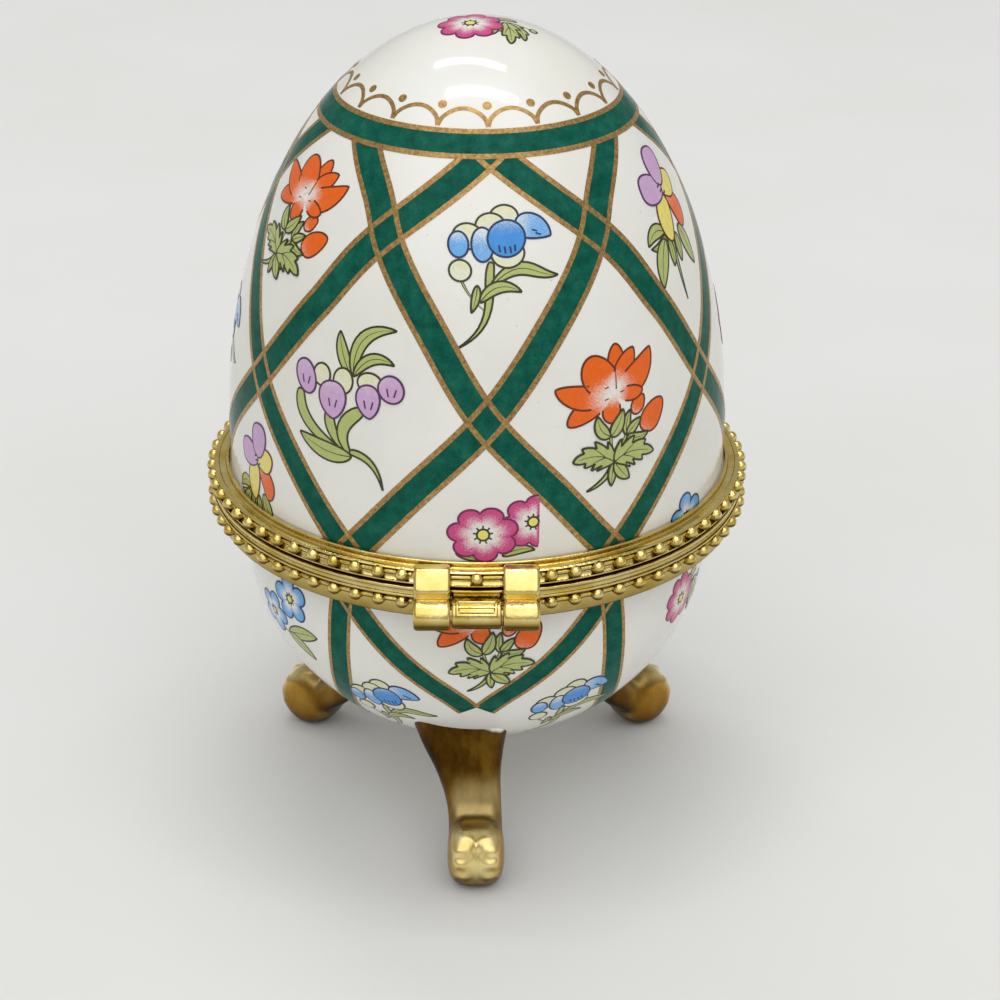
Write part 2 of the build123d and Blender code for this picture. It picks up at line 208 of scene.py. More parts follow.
FOOT_FLARE_CORE = 0.5
FOOT_SINK = 0.3
CUTTER_STEPS = 60
GILDING_TOP_Z = 19.4
GILDING_TILT = 0.3
GILDING_WANDER = 2.4
GILDING_EDGE = 0.4
# Across the toe, where painted shade on its sides begins and where it is full.
FLANK_SHADE_REACH = (2.3, 3.3)
INSTEP_LEAN = 50.0
INSTEP_REACH = (0.8, 2.6)
INSTEP_DARKNESS = 0.65
SHIN_REACH = (9.0, 13.0)

# Printed layers, and how far each lies above the glaze.
LAYER_SUNK = 0.02
LAYER_STEP = 0.006
TUCK_DEPTH = 1.0
TUCK_SHARE = 0.02
RIBBON_LIFT = 0.014
LINE_LIFT = 0.03
BAND_LIFT = 0.042
BAND_LINE_RISE = 0.008
SPRIG_LIFT = 0.016
STROKE_LIFT = 0.0022

# Camera, as the photograph was taken.
LENS_MM = 86.4
SENSOR_MM = 36.0
CAMERA_DISTANCE = 297.3
CAMERA_ELEVATION = math.radians(26.36)
CAMERA_AIM = (2.85, 0.0, 39.0)
CAMERA_ROLL = math.radians(0.44)
CLIP_START = 10.0


# Meshes.

def full_turn(count):
    """Even steps round a circle, in radians."""
    return np.radians(np.arange(count) * 360 / count)


def around(radius, turn, height):
    """Points at a distance from the egg's axis, turned from the hinge, at a height."""
    return np.stack(np.broadcast_arrays(radius * np.sin(turn), -radius * np.cos(turn), height), -1)


def unit(vectors):
    """Rows of vectors, each made one long."""
    return vectors / np.maximum(np.linalg.norm(vectors, axis=1), NEARLY_ZERO)[:, None]


def grid_faces(rows, columns, close_rows, close_columns):
    """Quads over a grid of points, row after row, joined up where a direction closes."""
    row = np.arange(rows if close_rows else rows - 1)[:, None]
    column = np.arange(columns if close_columns else columns - 1)[None, :]
    next_row = (row + 1) % rows
    next_column = (column + 1) % columns
    corners = [
        row * columns + column,
        row * columns + next_column,
        next_row * columns + next_column,
        next_row * columns + column,
    ]
    return np.stack(corners, -1).reshape(-1, 4)


@functools.lru_cache(maxsize=None)
def leaf_faces(rows, columns, close_rows):
    """Faces of a closed thin leaf: a grid on top, the same grid below it, and its edges."""
    top = grid_faces(rows, columns, close_rows, False)
    count = rows * columns
    steps = np.arange(rows if close_rows else rows - 1)
    first = np.stack([steps, (steps + 1) % rows], -1) * columns
    edges = [first[:, ::-1], first + columns - 1]
    if not close_rows:
        across = np.arange(columns - 1)
        start = np.stack([across, across + 1], -1)
        edges += [start, (start + (rows - 1) * columns)[:, ::-1]]
    walls = [np.stack([e[:, 1], e[:, 0], e[:, 0] + count, e[:, 1] + count], -1) for e in edges]
    return np.concatenate([top, top[:, ::-1] + count] + walls).tolist()


class Shape:
    """Points and faces gathered from several closed forms."""

    def __init__(self):
        self.points = []
        self.faces = []
        self.count = 0

    def add(self, points, faces):
        """Adds a form whose faces count from its own first point."""
        self.points.append(np.asarray(points, float).reshape(-1, 3))
        self.faces += [[corner + self.count for corner in face] for face in faces]
        self.count += len(self.points[-1])
        return self

    def tube(self, rings):
        """A skin over closed rings of points, with a flat face on each end ring."""
        rings = np.asarray(rings, float)
        rows, columns = rings.shape[:2]
        ends = [list(range(columns))[::-1], list(range((rows - 1) * columns, rows * columns))]
        return self.add(rings, grid_faces(rows, columns, False, True).tolist() + ends)

    def mesh(self, weld=False):
        """A smooth mesh in metres whose faces look outwards, joined where points meet at a pole."""
        mesh = bpy.data.meshes.new("shape")
        mesh.from_pydata((np.concatenate(self.points) * MM).tolist(), [], self.faces)
        work = bmesh.new()
        work.from_mesh(mesh)
        if weld:
            bmesh.ops.remove_doubles(work, verts=work.verts, dist=WELD_REACH)
        bmesh.ops.recalc_face_normals(work, faces=work.faces)
        work.to_mesh(mesh)
        work.free()
        mesh.shade_smooth()
        mesh.set_sharp_from_angle(angle=SHARP_ANGLE)
        return mesh


def in_scene(name, data):
    """A new object in the scene."""
    thing = bpy.data.objects.new(name, data)
    bpy.context.scene.collection.objects.link(thing)
    return thing


def piece(name, mesh, body, slot, material, *replaced):
    """A mesh of the object that rides on a body and stands for the replaced nodes."""
    mesh.name = name
    mesh.materials.clear()
    mesh.materials.append(material)
    thing = in_scene(name, mesh)
    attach(thing, body)
    if replaced:
        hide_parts(*replaced)


def arc(centre, radius, start, end, steps):
    """Points on a circle between two angles in degrees."""
    angles = np.radians(np.linspace(start, end, steps))
    return [(centre[0] + radius * math.cos(a), centre[1] + radius * math.sin(a)) for a in angles]


def softened(points, cut):
    """A closed outline with each sharp corner rounded, cut back by at most a third of its sides."""
    points = [np.array(p, float) for p in points]
    rounded = []
    for before, corner, after in zip(points[-1:] + points[:-1], points, points[1:] + points[:1]):
        inward = before - corner
        onward = after - corner
        lengths = np.linalg.norm(inward), np.linalg.norm(onward)
        straight = -inward @ onward / (lengths[0] * lengths[1])
        if straight > math.cos(STRAIGHT_ANGLE):
            rounded.append(corner)
            continue
        start = corner + inward / lengths[0] * min(cut, lengths[0] / 3)
        end = corner + onward / lengths[1] * min(cut, lengths[1] / 3)
        for t in np.linspace(0, 1, EDGE_STEPS):
            rounded.append((1 - t) ** 2 * start + 2 * t * (1 - t) * corner + t * t * end)
    return rounded


def lathe(shape, outline, closed):
    """An outline of (radius, height) turned about the egg's axis."""
    radii, heights = np.asarray(outline).T
    points = around(radii, full_turn(TURN_STEPS)[:, None], heights)
    return shape.add(points, grid_faces(TURN_STEPS, len(radii), True, closed).tolist())


def smooth(at, places, values):
    """A smooth curve through (place, value) pairs, with slopes taken from the neighbours."""
    places = np.asarray(places, float)
    values = np.asarray(values, float)
    slopes = np.gradient(values, places)
    i = np.clip(np.searchsorted(places, at) - 1, 0, len(places) - 2)
    span = places[i + 1] - places[i]
    t = (at - places[i]) / span
    return (
        (1 + 2 * t) * (1 - t) ** 2 * values[i]
        + t * (1 - t) ** 2 * span * slopes[i]
        + t * t * (3 - 2 * t) * values[i + 1]
        + t * t * (t - 1) * span * slopes[i + 1]
    )


def eased(values, start, end):
    """0 before start, 1 after end and a smooth step between."""
    t = np.clip((values - start) / (end - start), 0, 1)
    return t * t * (3 - 2 * t)


class HalfEgg:
    """A porcelain half: a straight collar, then half an ellipsoid, up (1) or down (-1).
    A place on its outside is an angle and a climb, the length up the outside from the equator."""

    def __init__(self, node, collar, wall, direction):
        low, high = box(node)
        self.direction = direction
        self.wall = wall
        self.radius = high.x
        self.edge = low.z if direction > 0 else high.z
        self.equator = self.edge + direction * collar
        self.height = abs((high.z if direction > 0 else low.z) - self.equator)
        self.slopes = np.linspace(0, math.pi / 2, ARC_STEPS)
        rate = np.hypot(self.radius * np.sin(self.slopes), self.height * np.cos(self.slopes))
        steps = (rate[1:] + rate[:-1]) / 2 * np.diff(self.slopes)
        self.lengths = np.concatenate([[0], np.cumsum(steps)])
        rim = UPPER_TOP_Z if direction > 0 else LOWER_BOTTOM_Z
        self.tuck = float(self.climb(rim - direction * TUCK_DEPTH))

    def slope(self, climb):
        return np.interp(self.direction * climb, self.lengths, self.slopes)

    def climb(self, height):
        rise = self.direction * (np.asarray(height, float) - self.equator)
        share = np.clip(rise / self.height, 0, 1)
        along = np.interp(np.arcsin(share), self.slopes, self.lengths)
        return self.direction * np.where(rise > 0, along, rise)

    def tucked(self, climb):
        """A climb, drawn together to a narrow line where the rim hides it."""
        beyond = self.direction * (climb - self.tuck)
        return np.where(beyond < 0, self.tuck + TUCK_SHARE * (climb - self.tuck), climb)

    def girth(self, climb):
        """Distance from the axis."""
        return self.radius * np.cos(self.slope(climb))

    def place(self, angle, climb, lift):
        slope = self.slope(climb)
        out = np.cos(slope) / self.radius
        up = np.sin(slope) / self.height
        size = np.hypot(out, up)
        radius = self.radius * np.cos(slope) + lift * out / size
        rise = self.height * np.sin(slope) + np.minimum(self.direction * climb, 0) + lift * up / size
        return around(radius, np.radians(angle), self.equator + self.direction * rise)

    def outline(self, inset):
        """Points of (radius, height) from the pole to the edge, inset from the outside."""
        slopes = np.linspace(math.pi / 2, 0, DOME_STEPS)
        radii = (self.radius - inset) * np.cos(slopes)
        heights = self.equator + self.direction * (self.height - inset) * np.sin(slopes)
        return list(zip(radii, heights)) + [(self.radius - inset, self.edge)]

    def shell(self):
        return lathe(Shape(), self.outline(0) + self.outline(self.wall)[::-1], False)


LID = HalfEgg("lid_shell", LID_COLLAR, LID_WALL, 1)
BOWL = HalfEgg("base_bowl", BOWL_COLLAR, BOWL_WALL, -1)
LID_SEAT = LID.radius + CEMENT_SIDE
BOWL_SEAT = BOWL.radius + CEMENT_SIDE
RIM_BORE = BOWL.radius - BOWL.wall


# Materials.

def paint(red, green, blue):
    """An sRGB colour, 0 to 255, as the linear colour that a shader takes."""
    parts = [c / 255 for c in (red, green, blue)]
    return tuple(c / 12.92 if c <= 0.04045 else ((c + 0.055) / 1.055) ** 2.4 for c in parts) + (1.0,)


class Nodes:
    """A node tree with a few helpers to wire it up."""

    def __init__(self, tree):
        self.tree = tree

    def node(self, kind, values=None, **settings):
        """A new node with its settings, and with a constant or a link on each named socket."""
        node = self.tree.nodes.new(kind)
        for key, value in settings.items():
            setattr(node, key, value)
        for socket, value in (values or {}).items():
            if isinstance(value, bpy.types.NodeSocket):
                self.tree.links.new(value, node.inputs[socket])
            else:
                node.inputs[socket].default_value = value
        return node

    def ramp(self, source, *stops):
        """Colours or greys at places between 0 and 1."""
        node = self.node("ShaderNodeValToRGB", {"Fac": source})
        elements = node.color_ramp.elements
        while len(elements) < len(stops):
            elements.new(0.5)
        for element, (place, colour) in zip(elements, stops):
            element.position = place
            element.color = colour if isinstance(colour, tuple) else (colour, colour, colour, 1)
        return node.outputs["Color"]


class Material(Nodes):
    """A principled material. Its keyword settings are constants on the shader's own sockets."""

    def __init__(self, name, **settings):
        self.material = bpy.data.materials.new(name)
        self.material.use_nodes = True
        super().__init__(self.material.node_tree)
        self.shader = self.tree.nodes["Principled BSDF"]
        for socket, value in settings.items():
            self.shader.inputs[socket.replace("_", " ")].default_value = value
        self.position = self.node("ShaderNodeTexCoord").outputs["Object"]

    def feed(self, source, socket):
        self.tree.links.new(source, self.shader.inputs[socket])

    def attribute(self, name):
        return self.node("ShaderNodeAttribute", attribute_name=name).outputs

    def noise(self, size, detail=3.0, roughness=0.5, stretch=None):
        """Noise whose marks are about size millimetres across."""
        vector = self.position
        if stretch:
            mapping = self.node("ShaderNodeMapping", {"Vector": vector, "Scale": stretch})
            vector = mapping.outputs["Vector"]
        marks = {"Vector": vector, "Scale": 1 / (size * MM), "Detail": detail, "Roughness": roughness}
        return self.node("ShaderNodeTexNoise", marks).outputs["Fac"]

    def vary(self, socket, size, detail, low, high):
        """Feeds the shader a value or colour that wanders between two over size millimetres."""
        self.feed(self.ramp(self.noise(size, detail), (0.3, low), (0.7, high)), socket)

    def math(self, operation, first, second):
        return self.node("ShaderNodeMath", {0: first, 1: second}, operation=operation).outputs["Value"]

    def mix(self, share, first, second, blend="MIX"):
        sockets = {0: share, 6: first, 7: second}
        return self.node("ShaderNodeMix", sockets, data_type="RGBA", blend_type=blend).outputs[2]

    def shaded(self, colour, shade, share=1.0):
        return self.mix(share, colour, shade, "MULTIPLY")

    def bump(self, source, depth, strength=1.0):
        """Relief of about depth millimetres."""
        relief = {"Height": source, "Distance": depth * MM, "Strength": strength}
        self.feed(self.node("ShaderNodeBump", relief).outputs["Normal"], "Normal")

    def crevices(self, reach, hollow_shade):
        """Painted shade in hollows narrower than reach millimetres, from their occlusion, and white in
        the open.
        """
        hollow = self.node("ShaderNodeAmbientOcclusion", {"Distance": reach * MM}, samples=8)
        return self.ramp(hollow.outputs["AO"], (0.1, hollow_shade), (0.7, WHITE))

    def underside(self, low, high):
        """Painted shade on what faces down, and white on what faces up or out."""
        normal = self.node("ShaderNodeNewGeometry").outputs["Normal"]
        height = self.node("ShaderNodeSeparateXYZ", {"Vector": normal}).outputs["Z"]
        upright = self.math("ADD", self.math("MULTIPLY", height, 0.5), 0.5)
        return self.ramp(upright, (low, UNDERSIDE_SHADE), (high, WHITE))


WHITE = (1.0, 1.0, 1.0, 1.0)
PORCELAIN_WARM = paint(229, 227, 217)
PORCELAIN_COOL = paint(236, 236, 231)
GLAZE_ROUGHNESS = (0.1, 0.1, 0.1, 1.0)
# Painted shade that darkens what faces down.
UNDERSIDE_SHADE = paint(104, 84, 30)


def porcelain_colour(m):
    return m.ramp(m.noise(14, 4), (0.3, PORCELAIN_WARM), (0.7, PORCELAIN_COOL))


def porcelain():
    m = Material("glazed_porcelain", Specular_IOR_Level=0.55)
    specks = m.ramp(m.noise(0.5, 2), (0.2, paint(196, 188, 170)), (0.27, WHITE))
    m.feed(m.shaded(porcelain_colour(m), specks, 0.6), "Base Color")
    m.vary("Roughness", 6, 3, 0.06, 0.12)
    m.bump(m.noise(7, 2), 0.05, 0.35)
    return m.material


def ribbon_green():
    m = Material("ribbon_green", Specular_IOR_Level=0.04)
    light, middle, dark = paint(38, 108, 90), paint(24, 94, 78), paint(12, 76, 62)
    broad = m.ramp(m.noise(1.6, 5, 0.65), (0.3, dark), (0.55, middle), (0.75, light))
    specks = m.ramp(m.noise(0.22, 2), (0.3, 0.72), (0.55, 1.0))
    m.feed(m.shaded(broad, specks, 0.8), "Base Color")
    m.vary("Roughness", 2.5, 3, 0.12, 0.2)
    m.bump(m.noise(1.2, 3), 0.02, 0.4)
    return m.material


def lustre_lines():
    m = Material("gold_lustre_lines", Metallic=0.55, Specular_IOR_Level=0.5)
    worn, middle, bright = paint(128, 96, 52), paint(166, 130, 74), paint(196, 162, 104)
    m.feed(m.ramp(m.noise(0.4, 5, 0.7), (0.32, worn), (0.5, middle), (0.68, bright)), "Base Color")
    m.vary("Roughness", 0.3, 3, 0.24, 0.42)
    m.bump(m.noise(0.16, 2), 0.02, 0.5)
    return m.material


def flower_print():
    """Colours from the print's own pigment, thinned to fine dots where its density is low."""
    m = Material("flower_print", Specular_IOR_Level=0.3)
    pigment = m.attribute("pigment")
    grain = m.math("MULTIPLY", m.math("SUBTRACT", m.noise(0.1, 1), 0.5), 1.3)
    dots = m.ramp(m.math("ADD", pigment["Alpha"], grain), (0.1, 0.0), (0.8, 1.0))
    uneven = m.ramp(m.noise(0.6, 3), (0.3, 0.9), (0.7, 1.0))
    m.feed(m.mix(dots, porcelain_colour(m), m.shaded(pigment["Color"], uneven)), "Base Color")
    m.vary("Roughness", 2.5, 3, 0.09, 0.16)
    return m.material


def gilt_metal(name, dull, bright, hollow_shade, reach, grain, relief):
    """Polished cast gilding with a fine cast grain, with painted shade in its hollows and on what
    faces down.
    """
    m = Material(name, Metallic=1.0, Specular_Tint=(1.0, 0.96, 0.8, 1))
    tone = m.ramp(m.noise(3.5, 4, 0.5), (0.3, dull), (0.7, bright))
    # Painted shade in the hollows, from their occlusion, and on what faces down.
    tone = m.shaded(tone, m.crevices(reach, hollow_shade))
    m.feed(m.shaded(tone, m.underside(0.34, 0.6)), "Base Color")
    m.feed(m.ramp(m.noise(0.9, 4), (0.3, 0.1), (0.75, 0.24)), "Roughness")
    m.bump(m.noise(grain, 3), relief, 0.6)
    return m.material


def foot_gilding():
    """Dark gold lustre over porcelain, brighter on the toe, partly as a painted highlight, with
    painted shade on the toe's sides, in its hollows and on what faces down, and bare glaze above an
    uneven edge.
    """
    m = Material("foot_gilding")
    rise, flank_shade, on_leg = [m.attribute(name)["Fac"] for name in ("rise", "flank_shade", "on_leg")]
    streaks = m.noise(2.2, 5, 0.6, (1, 1, 0.45))
    dark, middle, light = paint(70, 46, 10), paint(98, 68, 18), paint(134, 100, 36)
    leg_gold = m.ramp(streaks, (0.3, dark), (0.5, middle), (0.72, light))
    # The toe's paler gold is partly the gilding's own colour and partly a painted highlight.
    toe_gold_and_highlight = m.ramp(streaks, (0.3, paint(232, 200, 118)), (0.7, paint(252, 236, 174)))
    # Painted shade on the sides of the toe.
    toe_gold_and_highlight = m.mix(flank_shade, toe_gold_and_highlight, m.shaded(toe_gold_and_highlight, paint(182, 152, 98)))
    gold = m.mix(on_leg, toe_gold_and_highlight, leg_gold)
    # Painted shade in the hollows, from their occlusion, and on what faces down.
    gold = m.shaded(gold, m.crevices(1.2, paint(156, 126, 72)))
    gold = m.shaded(gold, m.underside(0.22, 0.52))
    wander = m.math("MULTIPLY", m.math("SUBTRACT", m.noise(3.5, 3), 0.5), GILDING_WANDER)
    above = m.math("SUBTRACT", m.math("ADD", rise, wander), GILDING_TOP_Z)
    bare = m.ramp(m.math("ADD", m.math("DIVIDE", above, GILDING_EDGE), 0.5), (0.0, 0.0), (1.0, 1.0))
    m.feed(m.mix(bare, gold, porcelain_colour(m)), "Base Color")
    m.feed(m.math("SUBTRACT", 1.0, bare), "Metallic")
    rough = m.ramp(m.noise(1.4, 4, 0.6, (1, 1, 0.5)), (0.3, 0.2), (0.7, 0.32))
    rough = m.math("ADD", rough, m.math("MULTIPLY", on_leg, 0.18))
    m.feed(m.mix(bare, rough, GLAZE_ROUGHNESS), "Roughness")
    m.bump(m.noise(1.9, 0), 0.2, 0.5)
    return m.material


def pin_steel():
    m = Material("pin_steel", Metallic=1.0)
    m.vary("Base Color", 0.8, 3, paint(196, 176, 128), paint(226, 204, 150))
    m.vary("Roughness", 0.3, 3, 0.2, 0.34)
    m.bump(m.noise(0.3, 2), 0.02, 0.4)
    return m.material


def cement():
    m = Material("cement")
    m.vary("Base Color", 0.6, 4, paint(178, 170, 152), paint(206, 200, 184))
    m.vary("Roughness", 0.4, 3, 0.6, 0.85)
    m.bump(m.noise(0.25, 3), 0.05, 0.6)
    return m.material


def floor_card():
    m = Material("floor_card", Roughness=0.7, Specular_IOR_Level=0.25)
    m.vary("Base Color", 60, 3, paint(226, 226, 223), paint(230, 230, 228))
    return m.material


PORCELAIN = porcelain()
GREEN = ribbon_green()
LUSTRE = lustre_lines()
FLOWER_PRINT = flower_print()
# The third colour of each is the painted shade in its hollows.
GILT = gilt_metal(
    "gilt_metal", paint(222, 192, 98), paint(250, 232, 162), paint(124, 98, 34),
    reach=0.6, grain=0.4, relief=0.07,
)
BEADING = gilt_metal(
    "gilt_beading", paint(216, 184, 84), paint(250, 232, 156), paint(140, 112, 44),
    reach=0.4, grain=0.32, relief=0.14,
)
FOOT_GILDING = foot_gilding()
PIN_STEEL = pin_steel()
CEMENT = cement()


# Rims, hinge and clasp.

def cove(height):
    """A shallow hollow round a rim, from its lower edge to its upper one."""
    angles = np.radians(np.linspace(-90, 90, COVE_STEPS))
    radii = RIM_RADIUS - COVE_DEPTH * np.cos(angles)
    return list(zip(radii, height + COVE_HALF_HEIGHT * np.sin(angles)))


def upper_ring():
    """A web under the lid's edge, a cove for the beads, a ridge over it, a groove and a lip."""
    ridge = RIM_RADIUS - FLANGE_INSET
    groove = ridge - FLANGE_RIDGE
    lip = LID_SEAT + UPPER_LIP
    flange_z = UPPER_TOP_Z - FLANGE_DROP
    hollow = [p for p in cove(UPPER_BEAD_Z) if p[1] < UPPER_BEAD_Z or p[0] < ridge + FLANGE_RIDGE]
    return [
        (RIM_BORE, UPPER_FACE_Z),
        (RIM_RADIUS - CHAMFER_WIDTH, UPPER_FACE_Z),
        (RIM_RADIUS, UPPER_FACE_Z + CHAMFER_HEIGHT),
        *hollow,
        (ridge, flange_z),
        (groove, flange_z),
        (groove, flange_z - FLANGE_GROOVE),
        (lip, flange_z - FLANGE_GROOVE),
        (lip, UPPER_TOP_Z),
        (LID_SEAT, UPPER_TOP_Z),
        (LID_SEAT, UPPER_FACE_Z + RIM_WEB),
        (RIM_BORE, UPPER_FACE_Z + RIM_WEB),
    ]


def lower_ring():
    """A web over the bowl's edge, a lip, a sunk band, a ledge, a cove for the beads and a skirt."""
    band_top = PARTING_Z - CHAMFER_HEIGHT - LOWER_LIP_HEIGHT
    skirt = RIM_RADIUS - SKIRT_INSET
    hollow = [p for p in cove(LOWER_BEAD_Z)[::-1] if p[1] > LOWER_BEAD_Z or p[0] < skirt + METAL_EDGE]
    return [
        (RIM_BORE, PARTING_Z),
        (RIM_RADIUS - CHAMFER_WIDTH, PARTING_Z),
        (RIM_RADIUS, PARTING_Z - CHAMFER_HEIGHT),
        (RIM_RADIUS, band_top),
        (RIM_RADIUS - BAND_DEPTH, band_top),
        (RIM_RADIUS - BAND_DEPTH, band_top - BAND_HEIGHT),
        (RIM_RADIUS, band_top - BAND_HEIGHT),
        *hollow,
        (skirt, LOWER_BOTTOM_Z + SKIRT_HEIGHT),
        (BOWL_SEAT + SKIRT_LIP, LOWER_BOTTOM_Z),
        (BOWL_SEAT, LOWER_BOTTOM_Z),
        (BOWL_SEAT, PARTING_Z - RIM_WEB),
        (RIM_BORE, PARTING_Z - RIM_WEB),
    ]


def inset_outline(points, depth):
    """An outline drawn in by a small depth, square to its sides."""
    after = np.roll(points, -1, 0)
    before = np.roll(points, 1, 0)
    sides = unit(unit(after - points) + unit(points - before))
    inward = np.stack([-sides[:, 1], sides[:, 0]], -1)
    area = np.sum(points[:, 0] * after[:, 1] - after[:, 0] * points[:, 1])
    return points + inward * depth * np.sign(area)


def extruded(shape, outline, start, end, edge):
    """An outline of (y, height) from one x to another, with its end edges rounded."""
    outline = np.asarray(outline, float)
    turns = np.radians(np.linspace(0, 90, EDGE_STEPS))
    rings = [(start + edge * (1 - math.cos(a)), edge * (1 - math.sin(a))) for a in turns]
    rings += [(end - x + start, depth) for x, depth in rings[::-1]]
    skins = []
    for x, depth in rings:
        ring = inset_outline(outline, depth)
        skins.append(np.column_stack([np.full(len(ring), x), ring]))
    return shape.tube(skins)


def lug_outline():
    """A lug seen along the pin: a shoulder that slopes off the rim, a neck and a barrel."""
    front_y = -(RIM_RADIUS + SHOULDER_REACH)
    meet = math.degrees(math.acos((front_y - HINGE.y) / LUG_RADIUS))
    root_y = -(LID_SEAT + UPPER_LIP)
    return [
        (root_y, UPPER_TOP_Z),
        (-(RIM_RADIUS - SHOULDER_TOP_INSET), UPPER_TOP_Z - SHOULDER_TOP_DROP),
        (front_y, UPPER_FACE_Z + SHOULDER_RISE),
        *arc((HINGE.y, HINGE.z), LUG_RADIUS, meet, 360, LUG_STEPS),
        (LUG_BACK_Y, UPPER_FACE_Z),
        (root_y, UPPER_FACE_Z),
    ]


def knuckle_outline():
    """The knuckle seen along the pin: a barrel on a web that runs into the lower rim."""
    inside_y = -(RIM_RADIUS - COVE_DEPTH) + METAL_EDGE
    return [
        (inside_y, PARTING_Z - KNUCKLE_TOP_GAP),
        (-RIM_RADIUS, PARTING_Z - KNUCKLE_TOP_GAP),
        *arc((HINGE.y, HINGE.z), KNUCKLE_RADIUS, 90, 270, KNUCKLE_STEPS),
        (inside_y, LOWER_BOTTOM_Z + METAL_EDGE),
    ]


def pad_relief(x, angle):
    """Height of the knuckle's face: a rounded frame with cross bars inside it."""
    across = (PAD_HALF_WIDTH - np.abs(x)) / PAD_FRAME
    along = np.radians(PAD_HALF_ANGLE - np.abs(angle)) * KNUCKLE_RADIUS / PAD_FRAME
    border = np.minimum(across, along)
    outer_side = border * PAD_FRAME_STEEPNESS[0]
    inner_side = (PAD_FRAME_SPREAD - border) * PAD_FRAME_STEEPNESS[1]
    frame_height = np.clip(np.minimum(outer_side, inner_side), 0, 1)
    waves = np.cos(math.pi * angle / PAD_HALF_ANGLE * (PAD_BARS + 1))
    bars = np.clip(PAD_BAR_SWELL * waves - PAD_BAR_SINK, 0, 1)
    inside = np.where(border > PAD_BAR_START, PAD_BAR_SHARE * bars, 0)
    return PAD_RELIEF * np.maximum(frame_height, inside)


def knuckle_pad(shape):
    """The relief on the knuckle's outer face, laid round its barrel."""
    x = np.linspace(-PAD_HALF_WIDTH, PAD_HALF_WIDTH, PAD_ROWS)[:, None]
    angle = np.linspace(-PAD_HALF_ANGLE, PAD_HALF_ANGLE, PAD_COLUMNS)[None, :]
    turn = np.radians(PAD_MIDDLE_ANGLE + angle)
    layers = []
    for height in (pad_relief(x, angle), -METAL_EDGE):
        radius = KNUCKLE_RADIUS + height
        places = (x, HINGE.y - radius * np.cos(turn), HINGE.z + radius * np.sin(turn))
        layers.append(np.stack(np.broadcast_arrays(*places), -1))
    return shape.add(layers, leaf_faces(PAD_ROWS, PAD_COLUMNS, False))


def rounded_slice(inner_y, outer_y, half_width, edge, height):
    """A rounded rectangle lying flat: one slice through the tongue or a leg."""
    edge = min(edge, (outer_y - inner_y) / CORNER_ROOM, half_width / CORNER_ROOM)
    x = half_width - edge
    corners = [(x, outer_y - edge), (-x, outer_y - edge), (-x, inner_y + edge), (x, inner_y + edge)]
    points = []
    for quarter, corner in enumerate(corners):
        start = 90 * quarter
        points += [(*p, height) for p in arc(corner, edge, start, start + 90, CORNER_STEPS)]
    return points


def tongue(shape):
    """A plate that hangs from the upper rim over the lower one and ends in a lip for the thumb."""
    top = UPPER_TOP_Z - FLANGE_DROP
    bottom = top - TONGUE_LENGTH
    inner = RIM_RADIUS + TONGUE_GAP
    face = inner + TONGUE_THICKNESS
    lip_y = face + TONGUE_LIP_REACH - TONGUE_LIP_RADIUS
    lip_top = bottom + 2 * TONGUE_LIP_RADIUS
    slices = []
    for height in np.linspace(bottom + TONGUE_TRIM, top - TONGUE_TRIM, TONGUE_SLICES):
        rise = height - bottom
        if height < lip_top:
            outer = lip_y + math.sqrt(TONGUE_LIP_RADIUS ** 2 - (rise - TONGUE_LIP_RADIUS) ** 2)
        else:
            slide = np.clip((height - lip_top) / (TONGUE_LIP_REACH / 2), 0, 1)
            outer = lip_y + (face - lip_y) * slide * (2 - slide)
        below = max(TONGUE_CORNER - rise, 0)
        width = TONGUE_HALF_WIDTH - TONGUE_CORNER + math.sqrt(TONGUE_CORNER ** 2 - below ** 2)
        crown = max(height - top + TONGUE_EDGE, 0)
        outer -= crown * crown / TONGUE_EDGE
        inside = inner if height < UPPER_FACE_Z else LID_SEAT + UPPER_LIP
        slices.append(rounded_slice(inside, outer, width, TONGUE_EDGE, height))
    return shape.tube(slices)


def pip(shape):
    """A ball in the lower rim's cove that the tongue snaps over."""
    slopes = np.radians(np.linspace(*PIP_SPAN, PIP_STEPS))[:, None]
    turns = full_turn(2 * PIP_STEPS)[None, :]
    out = RIM_RADIUS + TONGUE_GAP - PIP_GAP - PIP_RADIUS
    across = PIP_RADIUS * np.cos(slopes)
    heights = LOWER_BEAD_Z + PIP_RADIUS * np.sin(slopes)
    rings = np.broadcast_arrays(across * np.cos(turns), out + across * np.sin(turns), heights)
    return shape.tube(np.stack(rings, -1))


def upper_rim():
    shape = lathe(Shape(), softened(upper_ring(), RING_EDGE), True)
    outline = softened(lug_outline(), LUG_EDGE)
    extruded(shape, outline, LUG_INNER_X, LUG_OUTER_X, LUG_EDGE)
    extruded(shape, outline, -LUG_OUTER_X, -LUG_INNER_X, LUG_EDGE)
    tongue(shape)
    piece("gilt_upper_rim", shape.mesh(), "lid", "gilt_metal", GILT, "upper_rim")


def lower_rim():
    shape = lathe(Shape(), softened(lower_ring(), METAL_EDGE), True)
    outline = softened(knuckle_outline(), METAL_EDGE)
    extruded(shape, outline, -KNUCKLE_HALF_WIDTH, KNUCKLE_HALF_WIDTH, 2 * METAL_EDGE)
    knuckle_pad(shape)
    pip(shape)
    piece("gilt_lower_rim", shape.mesh(), "base", "gilt_metal", GILT, "lower_rim")


